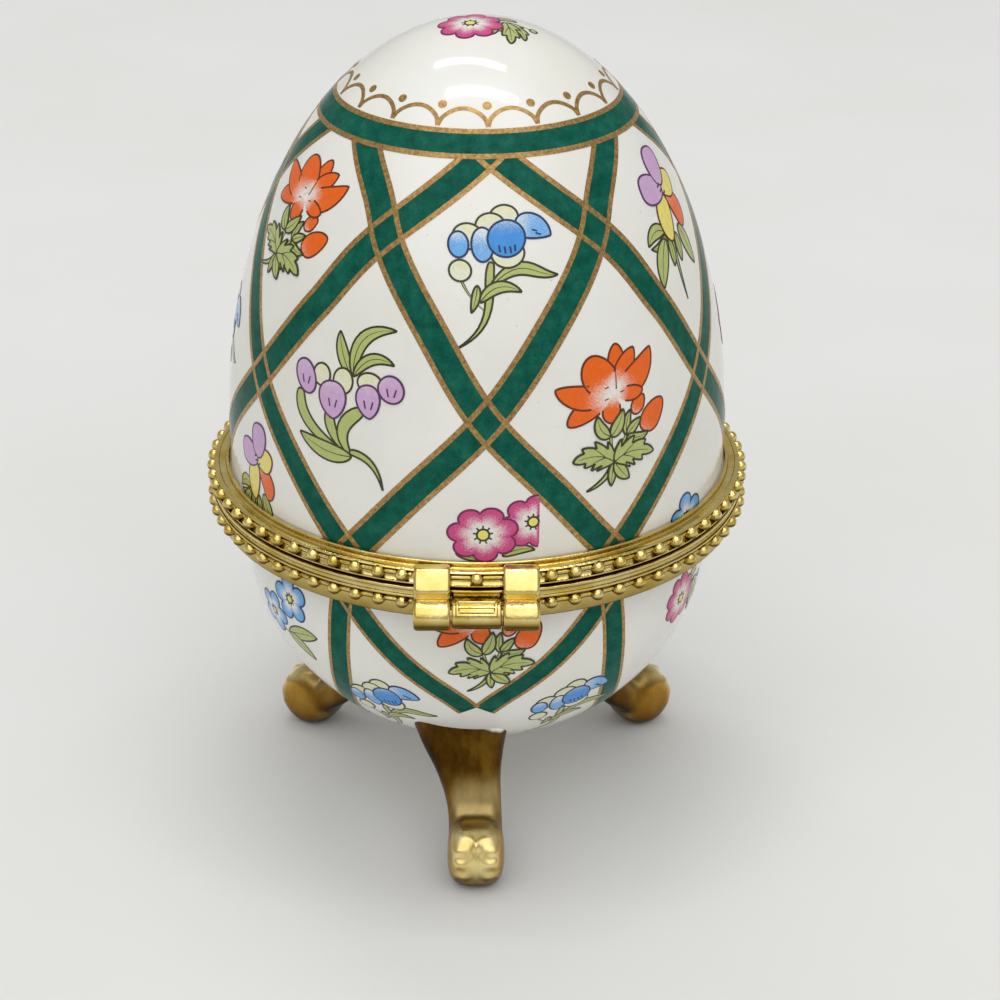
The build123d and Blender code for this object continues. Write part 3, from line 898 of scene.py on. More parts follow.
def bead_strip(shape, height, start, end):
    """Wire in the back of the cove that swells into a bead at every pitch, between two angles."""
    gap = math.degrees(BEAD_END_GAP / BEAD_CIRCLE)
    pitch = 360 / BEAD_COUNT
    stretch = np.sin(np.radians(np.linspace(-90, 90, BEAD_STEPS)))
    half_bead = math.degrees(BEAD_RADIUS / BEAD_CIRCLE)
    beads = [n * pitch for n in range(-BEAD_COUNT, BEAD_COUNT)]
    beads = [b for b in beads if start + gap + half_bead <= b <= end - gap - half_bead]
    stations = [start + gap, end - gap] + [b + half_bead * s for b in beads for s in stretch]
    stations = np.array(sorted(stations))
    nearest = np.min(np.abs(stations[:, None] - np.array(beads)[None, :]), 1) / half_bead
    swell = BEAD_RADIUS * np.sqrt(np.clip(1 - nearest ** 2, 0, 1))
    radius = np.maximum(swell, BEAD_WIRE_RADIUS)[:, None]
    sunk = BEAD_WIRE_INSET * np.clip(1 - swell / BEAD_WIRE_RADIUS, 0, 1)[:, None]
    round_wire = full_turn(WIRE_SIDES)[None, :]
    out = BEAD_CIRCLE - sunk + radius * np.cos(round_wire)
    heights = height + radius * np.sin(round_wire)
    return shape.tube(around(out, np.radians(stations)[:, None], heights))


def angle_beside(x):
    """Degrees round the rim from its mid-plane to a face that lies x to one side."""
    return math.degrees(math.asin(x / (BEAD_CIRCLE - BEAD_RADIUS)))


def beading():
    lugs = angle_beside(LUG_OUTER_X)
    clasp = 180 - angle_beside(TONGUE_HALF_WIDTH)
    between = angle_beside(LUG_INNER_X)
    upper = Shape()
    for start, end in ((lugs, clasp), (-clasp, -lugs), (-between, between)):
        bead_strip(upper, UPPER_BEAD_Z, start, end)
    lower = Shape()
    for start, end in ((lugs, clasp), (-clasp, -lugs)):
        bead_strip(lower, LOWER_BEAD_Z, start, end)
    piece("gilt_upper_beading", upper.mesh(), "lid", "gilt_beading", BEADING, "upper_rim_beading")
    piece("gilt_lower_beading", lower.mesh(), "base", "gilt_beading", BEADING, "lower_rim_beading")


def hinge_pin():
    """A pin whose riveted ends are slightly domed."""
    shares = np.sin(np.radians(np.linspace(*PIN_END_SPAN, PIN_END_STEPS)))
    end = [(-PIN_END_X + PIN_DOME * s * s, PIN_RADIUS * s) for s in shares]
    rings = end + [(-x, r) for x, r in end[::-1]]
    skins = [
        [(x, HINGE.y + r * math.cos(a), HINGE.z + r * math.sin(a)) for a in full_turn(PIN_SIDES)]
        for x, r in rings
    ]
    piece("hinge_pin_rivet", Shape().tube(skins).mesh(), "lid", "pin_steel", PIN_STEEL, "hinge_pin")


# Feet.

def leg_ring(sway, inset, height, lean, width, thickness):
    """A rounded section of the leg, square to the way that the leg runs down."""
    flat = rounded_slice(-thickness / 2, thickness / 2, width / 2, LEG_EDGE, 0)
    tilt = Matrix.Rotation(math.radians(-lean), 3, "X")
    centre = Vector((sway, inset - TOE_CIRCLE, height))
    return [tuple(centre + tilt @ Vector(p)) for p in flat]


def leg(shape):
    """The leg's sections, run together along a smooth line."""
    sections = np.array([LEG_ROOT, LEG_HIP, LEG_SHIN, LEG_ANKLE, LEG_TOE])
    places = np.arange(len(sections))
    at = np.linspace(0, len(sections) - 1, LEG_STEPS)
    columns = [smooth(at, places, values) for values in sections.T]
    return shape.tube([leg_ring(*row) for row in np.array(columns).T])


def toe(shape):
    """A squarish roll that lies on its side."""
    slopes = np.radians(np.linspace(*TOE_SPAN, TOE_RINGS))
    power = 2 / TOE_SQUARENESS
    widths = TOE_HALF_WIDTH * np.sign(np.cos(slopes)) * np.abs(np.cos(slopes)) ** power
    radii = TOE_RADIUS * np.sin(slopes) ** power
    rings = [
        [(x, -TOE_CIRCLE + r * math.cos(a), TOE_Z + r * math.sin(a)) for a in full_turn(TOE_SIDES)]
        for x, r in zip(widths, radii)
    ]
    return shape.tube(rings)


def carve_toe(points):
    """Sinks a wide hollow with a thin middle ridge and small lumps into the front of the toe."""
    back = points[:, 1] + TOE_CIRCLE
    rise = points[:, 2] - TOE_Z
    across = np.abs(points[:, 0])
    angle = np.degrees(np.arctan2(rise, -back))
    low, high = TOE_HOLLOW_ANGLES
    edge = TOE_HOLLOW_EDGE_ANGLE
    skin = eased(np.hypot(back, rise), *TOE_SKIN)
    front = skin * eased(angle, low - edge, low + edge) * (1 - eased(angle, high - edge, high + edge))
    sunk = TOE_HOLLOW * (1 - eased(across, *TOE_HOLLOW_SIDE))
    sunk -= TOE_RIDGE * (1 - eased(across, 0, TOE_RIDGE_HALF_WIDTH))
    sunk *= front
    for x, height in TOE_LUMPS:
        along = np.radians(angle - height) * TOE_RADIUS
        away = ((points[:, 0] - x) ** 2 + along ** 2) / (2 * TOE_LUMP_REACH ** 2)
        sunk -= TOE_LUMP * skin * np.exp(-away)
    points[:, 1] += sunk * np.cos(np.radians(angle))
    points[:, 2] -= sunk * np.sin(np.radians(angle))


def flare_leg(points, near):
    """Spreads the leg outwards where it comes near the bowl, from its hip's middle."""
    away = points[:, :2] - np.array([LEG_HIP[0], LEG_HIP[1] - TOE_CIRCLE])
    away /= np.maximum(np.linalg.norm(away, axis=1), FOOT_FLARE_CORE)[:, None]
    points[:, :2] += away * (FOOT_FLARE * near ** 2)[:, None]


def bowl_depth(points):
    """How far points lie outside the bowl, about, in millimetres."""
    scaled = points / np.array([BOWL.radius, BOWL.radius, BOWL.height])
    scaled[:, 2] -= BOWL.equator / BOWL.height
    length = np.linalg.norm(scaled, axis=1)
    return (length - 1) * np.linalg.norm(points - [0, 0, BOWL.equator], axis=1) / length


def taken_out(thing):
    """The mesh that an object's modifiers leave. The object itself goes."""
    graph = bpy.context.evaluated_depsgraph_get()
    graph.update()
    mesh = bpy.data.meshes.new_from_object(thing.evaluated_get(graph))
    bpy.data.objects.remove(thing)
    return mesh


def fused(mesh):
    """A leg and toe run into one smooth skin."""
    thing = in_scene("foot_rough", mesh)
    remesh = thing.modifiers.new("fuse", "REMESH")
    remesh.mode = "VOXEL"
    remesh.voxel_size = FOOT_VOXEL * MM
    ease = thing.modifiers.new("ease", "SMOOTH")
    ease.factor = 0.5
    ease.iterations = FOOT_SMOOTHING
    return taken_out(thing)


def cut_by_bowl(mesh):
    """The part of a foot that stays outside the bowl, sunk a little into its glaze."""
    slopes = np.linspace(math.pi / 2, 0, CUTTER_STEPS)
    radius = BOWL.radius - FOOT_SINK
    height = BOWL.height - FOOT_SINK
    outline = [(radius * math.cos(s), BOWL.equator - height * math.sin(s)) for s in slopes]
    inner = lathe(Shape(), outline + [(0, BOWL.equator)], False)
    cutter = in_scene("bowl_cutter", inner.mesh(weld=True))
    thing = in_scene("foot_fused", mesh)
    cut = thing.modifiers.new("cut", "BOOLEAN")
    cut.operation = "DIFFERENCE"
    cut.solver = "EXACT"
    cut.object = cutter
    kept = taken_out(thing)
    bpy.data.objects.remove(cutter)
    return kept


def places_of(mesh):
    """A mesh's points in millimetres."""
    return np.array([v.co for v in mesh.vertices]) / MM


def foot_mesh():
    """One casting that flares where it meets the bowl and stands flat on the floor."""
    shape = Shape()
    leg(shape)
    toe(shape)
    mesh = fused(shape.mesh())
    points = places_of(mesh)
    near = np.clip(1 - bowl_depth(points) / FOOT_FLARE_REACH, 0, FOOT_FLARE_LIMIT)
    carve_toe(points)
    flare_leg(points, near)
    points[:, 2] = np.maximum(points[:, 2], 0)
    mesh.vertices.foreach_set("co", (points * MM).astype(np.float32).ravel())
    return cut_by_bowl(mesh)


def feet():
    """Three feet from one casting. The gilding ends lower on one side of each."""
    first = foot_mesh()
    points = places_of(first)
    rise = points[:, 2] + GILDING_TILT * points[:, 0]
    # How much painted shade the toe's sides take, by distance across.
    flank_shade = eased(np.abs(points[:, 0]), *FLANK_SHADE_REACH)
    lean = math.radians(INSTEP_LEAN)
    up_leg = (points[:, 1] + TOE_CIRCLE) * math.sin(lean) + (points[:, 2] - TOE_Z) * math.cos(lean)
    on_leg = INSTEP_DARKNESS * eased(up_leg, *INSTEP_REACH)
    on_leg += (1 - INSTEP_DARKNESS) * eased(points[:, 2], *SHIN_REACH)
    for name, values in (("rise", rise), ("flank_shade", flank_shade), ("on_leg", on_leg)):
        first.attributes.new(name, "FLOAT", "POINT").data.foreach_set("value", values)
    for place, name in enumerate(FOOT_NAMES):
        mesh = first.copy()
        mesh.transform(Matrix.Rotation(math.radians(place * 360 / len(FOOT_NAMES)), 4, "Z"))
        mesh.shade_smooth()
        piece("gilt_" + name, mesh, "base", "gilt_porcelain", FOOT_GILDING, name)


# Printed ribbons, lines and flowers.

class Print(Shape):
    """Thin layers of colour on a half egg, gathered into one mesh."""

    def __init__(self, half):
        super().__init__()
        self.half = half
        self.pigments = []

    def layer(self, angles, climbs, lift, pigment=None, closed=False):
        """A closed leaf over a grid of places. Its pigment is a colour and a density at each."""
        rows, columns = angles.shape
        climbs = self.half.tucked(climbs)
        sides = [self.half.place(angles, climbs, height) for height in (lift, -LAYER_SUNK)]
        self.add(sides, leaf_faces(rows, columns, closed))
        if pigment is not None:
            flat = np.broadcast_to(pigment, (rows, columns, 4)).reshape(-1, 4)
            self.pigments += [flat, flat]

    def strip(self, angles, climbs, low, high, lift, closed=False, columns=3):
        """A band along a line of places, between two offsets to its left."""
        turn = np.radians(np.gradient(angles)) * self.half.girth(climbs)
        rise = np.gradient(climbs)
        if closed:
            turn = np.full_like(turn, np.mean(turn))
        size = np.hypot(turn, rise)
        offsets = np.linspace(low, high, columns)[None, :]
        all_climbs = climbs[:, None] + (turn / size)[:, None] * offsets
        sideways = -(rise / size)[:, None] * offsets
        all_angles = angles[:, None] + np.degrees(sideways / self.half.girth(all_climbs))
        self.layer(all_angles, all_climbs, lift, closed=closed)

    def hoop(self, climb, width, lift, columns=3):
        """A band right round the egg."""
        angles = np.arange(HOOP_STEPS) * 360 / HOOP_STEPS
        climbs = np.full(HOOP_STEPS, float(climb))
        self.strip(angles, climbs, -width / 2, width / 2, lift, True, columns)

    def dot(self, angle, climb, radius):
        """A round spot."""
        turns = full_turn(DOT_SIDES)[:, None]
        reach = np.array([DOT_SHARES]) * radius
        climbs = climb + reach * np.sin(turns)
        angles = angle + np.degrees(reach * np.cos(turns) / self.half.girth(climbs))
        self.layer(angles, climbs, LINE_LIFT, closed=True)

    def piece(self, name, body, material):
        mesh = self.mesh()
        if self.pigments:
            colours = mesh.color_attributes.new("pigment", "FLOAT_COLOR", "POINT")
            colours.data.foreach_set("color", np.concatenate(self.pigments).astype(np.float32).ravel())
        piece(name, mesh, body, "porcelain", material)


# Ribbon trellis on the lid: how far a ribbon has swept round at each height, and the print's twist.
SWEEP_HEIGHTS = (44.0, 47.7, 54.3, 62.6, 72.8, 81.0, 85.0, 88.8, 90.2)
SWEEP_ANGLES = (92.0, 85.8, 75.0, 60.0, 45.0, 31.2, 25.0, 15.0, 10.6)
SEAM_SWEEP_ANGLES = (92.0, 85.8, 75.0, 60.0, 45.0, 30.8, 18.6, 4.5, -1.2)
TWIST_ANGLES = (1.2, 1.2, 1.5, 2.0, 3.3, 3.9, 4.1, 4.1, 4.1)
RIBBON_STARTS = 6
SEAM_STARTS = (0, 3)
LID_RIBBON = 2.6
LID_LINE = 0.6
BAND_LOW_Z = 89.3
BAND_HIGH_Z = 91.5
RIBBON_STEPS = 110
HOOP_STEPS = 360

# Ribbons on the bowl, counted from the angle of a foot: one pair meets above it, one runs past.
MEETING_HEIGHTS = (23.9, 26.0, 28.5, 30.7, 33.1, 36.0, 39.6)
MEETING_ANGLES = (1.9, 6.0, 11.9, 16.9, 21.6, 26.8, 33.0)
PASSING_HEIGHTS = (16.0, 19.0, 21.9, 26.9, 32.0, 37.0, 39.6)
PASSING_ANGLES = (50.0, 45.0, 41.3, 37.2, 35.0, 33.7, 33.0)
BOWL_RIBBON = 2.3
BOWL_LINE = 0.45

# Scallops and dots above the lid's band.
SCALLOPS = 18
SCALLOP_TURN = 4.0
SCALLOP_LOW_Z = 91.9
SCALLOP_HIGH_Z = 93.45
SCALLOP_LINE = 0.5
SCALLOP_STEPS = 25
DOT_Z = 93.7
DOT_RADIUS = 0.5
DOT_SHARES = (0.02, 0.5, 1.0)
DOT_SIDES = 24


def ribbon(green, gold, angles, climbs, width, line, layer):
    """A green ribbon with a gold line along each edge, which it runs under for a third."""
    half = width / 2
    lift = LAYER_STEP * layer
    green.strip(angles, climbs, -half - line / 3, half + line / 3, RIBBON_LIFT + lift, columns=5)
    for side in (-1, 1):
        edges = sorted((side * half, side * (half + line)))
        gold.strip(angles, climbs, *edges, LINE_LIFT + lift)


def lid_trellis(green, gold):
    heights = np.linspace(SWEEP_HEIGHTS[0], SWEEP_HEIGHTS[-1], RIBBON_STEPS)
    climbs = LID.climb(heights)
    twist = smooth(heights, SWEEP_HEIGHTS, TWIST_ANGLES)
    for start in range(RIBBON_STARTS):
        nodes = SEAM_SWEEP_ANGLES if start in SEAM_STARTS else SWEEP_ANGLES
        sweep = smooth(heights, SWEEP_HEIGHTS, nodes)
        for layer, side in enumerate((1, -1)):
            angles = start * 360 / RIBBON_STARTS + twist + side * sweep
            ribbon(green, gold, angles, climbs, LID_RIBBON, LID_LINE, layer)


def lid_band(green, gold):
    low, high = (float(LID.climb(z)) for z in (BAND_LOW_Z, BAND_HIGH_Z))
    green.hoop((low + high) / 2, high - low, BAND_LIFT, columns=5)
    for climb in (low, high):
        gold.hoop(climb, LID_LINE, BAND_LIFT + BAND_LINE_RISE)


def lid_scallops(gold):
    low, high, dots = (float(LID.climb(z)) for z in (SCALLOP_LOW_Z, SCALLOP_HIGH_Z, DOT_Z))
    pitch = 360 / SCALLOPS
    share = np.linspace(0, 1, SCALLOP_STEPS)
    climbs = low + (high - low) * np.sin(math.pi * share) ** 0.5
    for n in range(SCALLOPS):
        angles = SCALLOP_TURN + (n + share) * pitch
        gold.strip(angles, climbs, -SCALLOP_LINE / 2, SCALLOP_LINE / 2, LINE_LIFT)
        gold.dot(SCALLOP_TURN + n * pitch, dots, DOT_RADIUS)


def bowl_ribbons(green, gold):
    routes = ((MEETING_HEIGHTS, MEETING_ANGLES), (PASSING_HEIGHTS, PASSING_ANGLES))
    for foot in range(len(FOOT_NAMES)):
        for layer, side in enumerate((1, -1)):
            for heights, nodes in routes:
                at = np.linspace(heights[0], heights[-1], RIBBON_STEPS // 2)
                angles = foot * 360 / len(FOOT_NAMES) + side * smooth(at, heights, nodes)
                ribbon(green, gold, angles, BOWL.climb(at), BOWL_RIBBON, BOWL_LINE, layer)


# Pigments.
ORANGE = paint(238, 104, 26)
ORANGE_INK = paint(104, 50, 26)
VIOLET = paint(206, 168, 208)
VIOLET_INK = paint(92, 56, 100)
BLUE = paint(104, 172, 232)
DEEP_BLUE = paint(66, 146, 222)
BLUE_INK = paint(34, 54, 96)
LEAF = paint(181, 191, 116)
LEAF_INK = paint(62, 62, 38)
PINK = paint(206, 74, 134)
PINK_INK = paint(120, 40, 84)
YELLOW = paint(237, 224, 118)
CREAM = paint(226, 226, 186)

# Drawing with a pen: widths of lines, and shares along or across a shape.
FINE = 0.24
MIDRIB = 0.15
VEIN = 0.12
DASH = 0.17
RAY = 0.2
STEM = 0.3
STEM_OUTLINE = 0.2
STEM_INSET = 0.06
TAPER = 0.35
STROKE_STEPS = 12
BLADE_STEPS = 19
BLADE_SPAN = (0.02, 0.98)
TOOTHED_SPAN = (0.004, 0.996)
WIDE_BLADE = 2.0
WIDE_COLUMNS = 7
NARROW_COLUMNS = 5
FADE_REACH = 0.55
TOOTH_STEPS = 12
TOOTH_LEAN = 0.13
TOOTH_DEPTH = 0.5
RIB_STEPS = 9
VEIN_SPREAD = 0.3
VEIN_BEND = 0.6
BLOOM_SIDES = 112
BLOOM_RINGS = 8
BLOOM_SPAN = (0.02, 1.0)
BLOOM_FADE = (0.3, 0.92)
BLOOM_DENSITIES = (0.0, 1.1)
EYE_SHARE = 0.075
EYE_SPREAD = 2.3
RAYS = 9
RAY_REACH = 1.9


def curve(points, shares):
    """Places on a smooth line through two to four points, at shares of the way along it."""
    at = np.linspace(0, 1, len(points))
    columns = np.asarray(points, float).T
    return np.stack([np.polyval(np.polyfit(at, c, len(points) - 1), shares) for c in columns], -1)


def normals(points, closed=False):
    """Unit directions to the left of a line of points."""
    run = np.roll(points, -1, 0) - np.roll(points, 1, 0) if closed else np.gradient(points, axis=0)
    run = unit(run)
    return np.stack([-run[:, 1], run[:, 0]], -1)


def tinted(colour, density):
    """A pigment for each place of a grid, from one colour and a grid of densities."""
    pigment = np.empty(density.shape + (4,))
    pigment[..., :3] = colour[:3]
    pigment[..., 3] = density
    return pigment


class Pen:
    """Draws one motif in its own across and up, each stroke a little above the last."""

    def __init__(self, target, place):
        self.target = target
        self.place = place
        self.lift = SPRIG_LIFT

    def ink(self, grid, pigment, closed=False):
        angles, climbs = self.place(np.asarray(grid, float))
        self.target.layer(angles, climbs, self.lift, pigment, closed)
        self.lift += STROKE_LIFT

    def line(self, points, colour, width=FINE, closed=False, taper=False):
        points = np.asarray(points, float)
        half = width / 2 * np.linspace(1, TAPER if taper else 1, len(points))
        offset = normals(points, closed) * half[:, None]
        self.ink(np.stack([points - offset, points + offset], 1), colour, closed)

    def stroke(self, points, colour, width=FINE, taper=False, steps=STROKE_STEPS):
        self.line(curve(points, np.linspace(0, 1, steps)), colour, width, taper=taper)

    def blade(self, points, width, colour, ink, root=0.6, tip=0.6, fade=(1, 1), teeth=0, bare=0.0):
        """A petal or leaf along a line. Its fullest place follows the root and tip powers, its
        pigment goes from its root's density to its tip's, and its outline leaves the root bare."""
        if teeth:
            t = np.linspace(*TOOTHED_SPAN, BLADE_STEPS + TOOTH_STEPS * teeth)
        else:
            t = 0.5 - 0.5 * np.cos(math.pi * np.linspace(*BLADE_SPAN, BLADE_STEPS))
        middle = curve(points, t)
        full = root / (root + tip)
        half = width / 2 * t ** root * (1 - t) ** tip / (full ** root * (1 - full) ** tip)
        side = normals(middle)
        offset = side * half[:, None]
        across = np.linspace(-1, 1, NARROW_COLUMNS if width < WIDE_BLADE else WIDE_COLUMNS)
        onward = np.zeros_like(middle)
        if teeth:
            saw = np.mod(teeth * t, 1)[:, None]
            offset = offset * (1 - TOOTH_DEPTH + TOOTH_DEPTH * saw)
            onward = np.stack([side[:, 1], -side[:, 0]], -1) * saw * half[:, None] * 2 * TOOTH_LEAN
        grid = middle[:, None, :] + offset[:, None, :] * across[None, :, None]
        grid = grid + onward[:, None, :] * np.abs(across)[None, :, None]
        density = np.interp(t, (0, FADE_REACH, 1), (fade[0], fade[1], fade[1]))
        self.ink(grid, tinted(colour, np.repeat(density[:, None], len(across), 1)))
        first = np.searchsorted(t, bare)
        edge = np.concatenate([grid[first:, 0], grid[first:, -1][::-1]])
        self.line(edge, ink, closed=not first)

    def petal(self, points, width, colour, ink, tip):
        """A petal that fades to nothing at its root."""
        self.blade(points, width, colour, ink, root=0.6, tip=tip, fade=(0.05, 1.1), bare=0.3)

    def oval(self, centre, width, height, colour, ink, fade=(1, 1)):
        """A bell, berry or dome, fading from its top to its foot."""
        x, y = centre
        line = [(x, y + height / 2), centre, (x, y - height / 2)]
        self.blade(line, width, colour, ink, root=0.5, tip=0.5, fade=fade)

    def leaf(self, points, width):
        self.blade(points, width, LEAF, LEAF_INK, root=0.6, tip=0.8)
        self.stroke(points, LEAF_INK, VEIN, True)

    def toothed_leaf(self, points, width, teeth=4):
        """A broad leaf with saw edges, a midrib and two side veins."""
        self.blade(points, width, LEAF, LEAF_INK, root=0.45, tip=0.9, teeth=teeth)
        rib = curve(points, np.linspace(0, 1, RIB_STEPS))
        self.line(rib[:-1], LEAF_INK, MIDRIB, taper=True)
        side = normals(rib) * width * VEIN_SPREAD
        for turn in (-1, 1):
            vein = [rib[2], rib[4] + turn * side[4] * VEIN_BEND, rib[5] + turn * side[5]]
            self.stroke(vein, LEAF_INK, VEIN, True)

    def stem(self, points, width=STEM):
        self.stroke(points, LEAF_INK, width + STEM_OUTLINE, True)
        self.stroke(points, LEAF, width - STEM_INSET, True)

    def stalk(self, points, width, tip=0.6):
        """A broad stem that narrows to its end."""
        self.blade(points, width, LEAF, LEAF_INK, root=0.25, tip=tip)

    def dashes(self, starts, step, colour, width=DASH):
        for x, y in starts:
            self.stroke([(x, y), (x + step[0], y + step[1])], colour, width, steps=3)

    def bloom(self, centre, width, height, petals, notch, colour, ink, turn=0.0, right=None):
        """A round flower in one piece, pale in its middle, whose lobes part at a share of its
        reach. A print that is trimmed on its right ends there."""
        turns = full_turn(BLOOM_SIDES)
        lobes = np.abs(np.cos(petals / 2 * (turns - math.radians(turn)))) ** 0.5
        way = np.stack([np.sin(turns) * width / 2, np.cos(turns) * height / 2], -1)
        reach = notch + (1 - notch) * lobes
        room = np.full(len(turns), np.inf)
        if right is not None:
            onward = np.maximum(way[:, 0], NEARLY_ZERO)
            room = np.where(way[:, 0] > 0, (right - centre[0]) / onward, np.inf)
        trimmed = np.flatnonzero(reach > room)
        shares = np.linspace(*BLOOM_SPAN, BLOOM_RINGS)
        rays = np.minimum(reach, room)[:, None] * shares
        grid = np.asarray(centre) + way[:, None, :] * rays[..., None]
        density = np.interp(shares, BLOOM_FADE, BLOOM_DENSITIES)
        self.ink(grid, tinted(colour, np.repeat(density[None, :], len(turns), 0)), True)
        edge = grid[:, -1]
        if len(trimmed):
            edge = np.roll(edge, -trimmed[-1] - 1, 0)[:trimmed[0] - trimmed[-1] - 1]
        self.line(edge, ink, closed=not len(trimmed))
        self.eye(np.asarray(centre, float), width * EYE_SHARE, right)

    def eye(self, centre, radius, right):
        """A yellow middle in a ring of short rays, none past a trimmed edge."""
        for a in full_turn(RAYS):
            way = np.array([math.sin(a), math.cos(a)]) * radius
            tip = centre + way * RAY_REACH
            if right is None or tip[0] < right:
                self.stroke([centre + way, tip], LEAF_INK, RAY, steps=3)
        self.oval(centre, EYE_SPREAD * radius, EYE_SPREAD * radius, YELLOW, LEAF_INK)


def orange_sprig(pen):
    """A pointed open flower and a bud over two saw-edged leaves."""
    pen.blade([(3.1, 0.8), (3.6, 1.9), (4.5, 2.7)], 1.8, ORANGE, ORANGE_INK, 0.5, 0.6, (0.5, 1.0))
    pen.blade([(4.4, -1.5), (5.5, 0.0), (7.3, 1.6)], 2.9, ORANGE, ORANGE_INK, 0.45, 0.55, (0.6, 1.1))
    pen.stem([(1.75, -1.2), (1.0, -2.4), (-0.1, -4.1)])
    pen.stem([(-0.4, -0.8), (-0.3, -2.5), (-0.1, -4.1)])
    pen.stalk([(-0.2, -4.1), (-1.4, -5.8), (-3.6, -6.9)], 0.55)
    for line, width, tip in (
        ([(0.5, 4.4), (0.95, 7.0), (1.1, 9.3)], 2.2, 0.6),
        ([(0.8, 4.3), (2.0, 6.4), (3.5, 8.4)], 2.4, 0.7),
        ([(0.7, 4.1), (3.6, 5.1), (5.9, 7.9)], 3.1, 0.75),
        ([(0.6, 3.9), (2.6, 3.4), (4.3, 3.5)], 1.7, 0.6),
        ([(0.0, 3.9), (-0.1, 2.0), (-0.5, 0.6)], 2.3, 0.5),
        ([(-0.2, 3.6), (-2.9, 2.7), (-5.6, 1.1)], 2.5, 0.6),
        ([(-0.3, 3.9), (-3.6, 4.0), (-6.7, 5.3)], 2.7, 0.65),
        ([(0.1, 4.2), (-1.3, 6.0), (-0.9, 8.2)], 4.3, 0.42),
    ):
        pen.petal(line, width, ORANGE, ORANGE_INK, tip)
    pen.stroke([(0.7, 4.3), (0.75, 5.4), (0.8, 6.6)], ORANGE_INK, 0.16, True)
    pen.dashes([(1.2, 3.8), (-0.8, 4.6), (-0.9, 3.3)], (0.5, 0.1), ORANGE_INK, 0.14)
    for line, width in (
        ([(1.7, -1.2), (1.8, 0.2), (2.4, 1.5)], 1.0),
        ([(1.8, -1.2), (2.7, -0.5), (3.8, 0.3)], 1.1),
        ([(1.8, -1.3), (3.2, -1.9), (4.8, -1.6)], 1.1),
        ([(-0.45, -0.9), (-1.6, 0.0), (-1.9, 1.6)], 1.5),
        ([(-0.4, -0.9), (0.6, 0.1), (1.4, 1.8)], 1.5),
        ([(-0.15, -4.1), (-0.4, -5.5), (-0.5, -6.8)], 1.0),
        ([(0.0, -4.1), (0.9, -5.4), (1.9, -6.4)], 1.5),
    ):
        pen.leaf(line, width)
    pen.toothed_leaf([(-0.1, -4.0), (-2.4, -2.9), (-5.2, -3.2)], 3.7)
    pen.toothed_leaf([(0.0, -4.0), (2.4, -3.3), (5.5, -4.1)], 3.9)


def bell_sprig(pen):
    """A cluster of bells with pale domes behind them on an arched stem."""
    pen.stalk([(-0.5, -0.3), (-0.8, -3.6), (-1.5, -6.8), (-4.6, -9.7)], 0.9, 0.9)
    pen.stem([(-3.9, -1.8), (-3.1, -3.6), (-1.5, -5.4)], 0.2)
    pen.leaf([(-2.1, -2.8), (-2.3, -4.2), (-2.8, -5.7)], 0.9)
    pen.leaf([(-0.7, -3.0), (2.2, -1.1), (4.4, -1.5), (6.8, -2.1)], 1.4)
    pen.leaf([(-1.8, -4.6), (0.2, -3.0), (2.7, -3.6)], 1.3)
    for centre, width, height in (
        ((1.0, 4.5), 3.1, 2.7),
        ((-0.5, 3.6), 3.2, 2.8),
        ((-3.0, 2.5), 3.2, 2.8),
        ((-3.9, -1.2), 2.4, 2.3),
        ((1.3, 0.6), 3.6, 3.1),
    ):
        pen.oval(centre, width, height, CREAM, LEAF_INK, (0.9, 0.55))
    pen.blade([(2.2, 3.7), (4.2, 3.3), (6.1, 2.2)], 2.7, BLUE, BLUE_INK, 0.45, 0.75, (0.3, 0.8))
    pen.oval((-4.0, 1.6), 2.2, 2.8, BLUE, BLUE_INK, (0.25, 0.95))
    pen.oval((-1.4, 1.6), 2.4, 3.7, BLUE, BLUE_INK, (0.1, 0.8))
    pen.oval((1.2, 2.2), 4.1, 4.0, DEEP_BLUE, BLUE_INK, (0.5, 1.1))
    pen.dashes([(0.35, 1.5), (0.95, 1.35), (1.55, 1.35)], (0.12, -0.75), BLUE_INK, 0.22)
    pen.dashes([(2.1, 1.5)], (0.0, -0.7), BLUE_INK, 0.22)
    pen.dashes([(4.0, 3.0), (4.4, 2.6)], (0.6, -0.2), BLUE_INK)


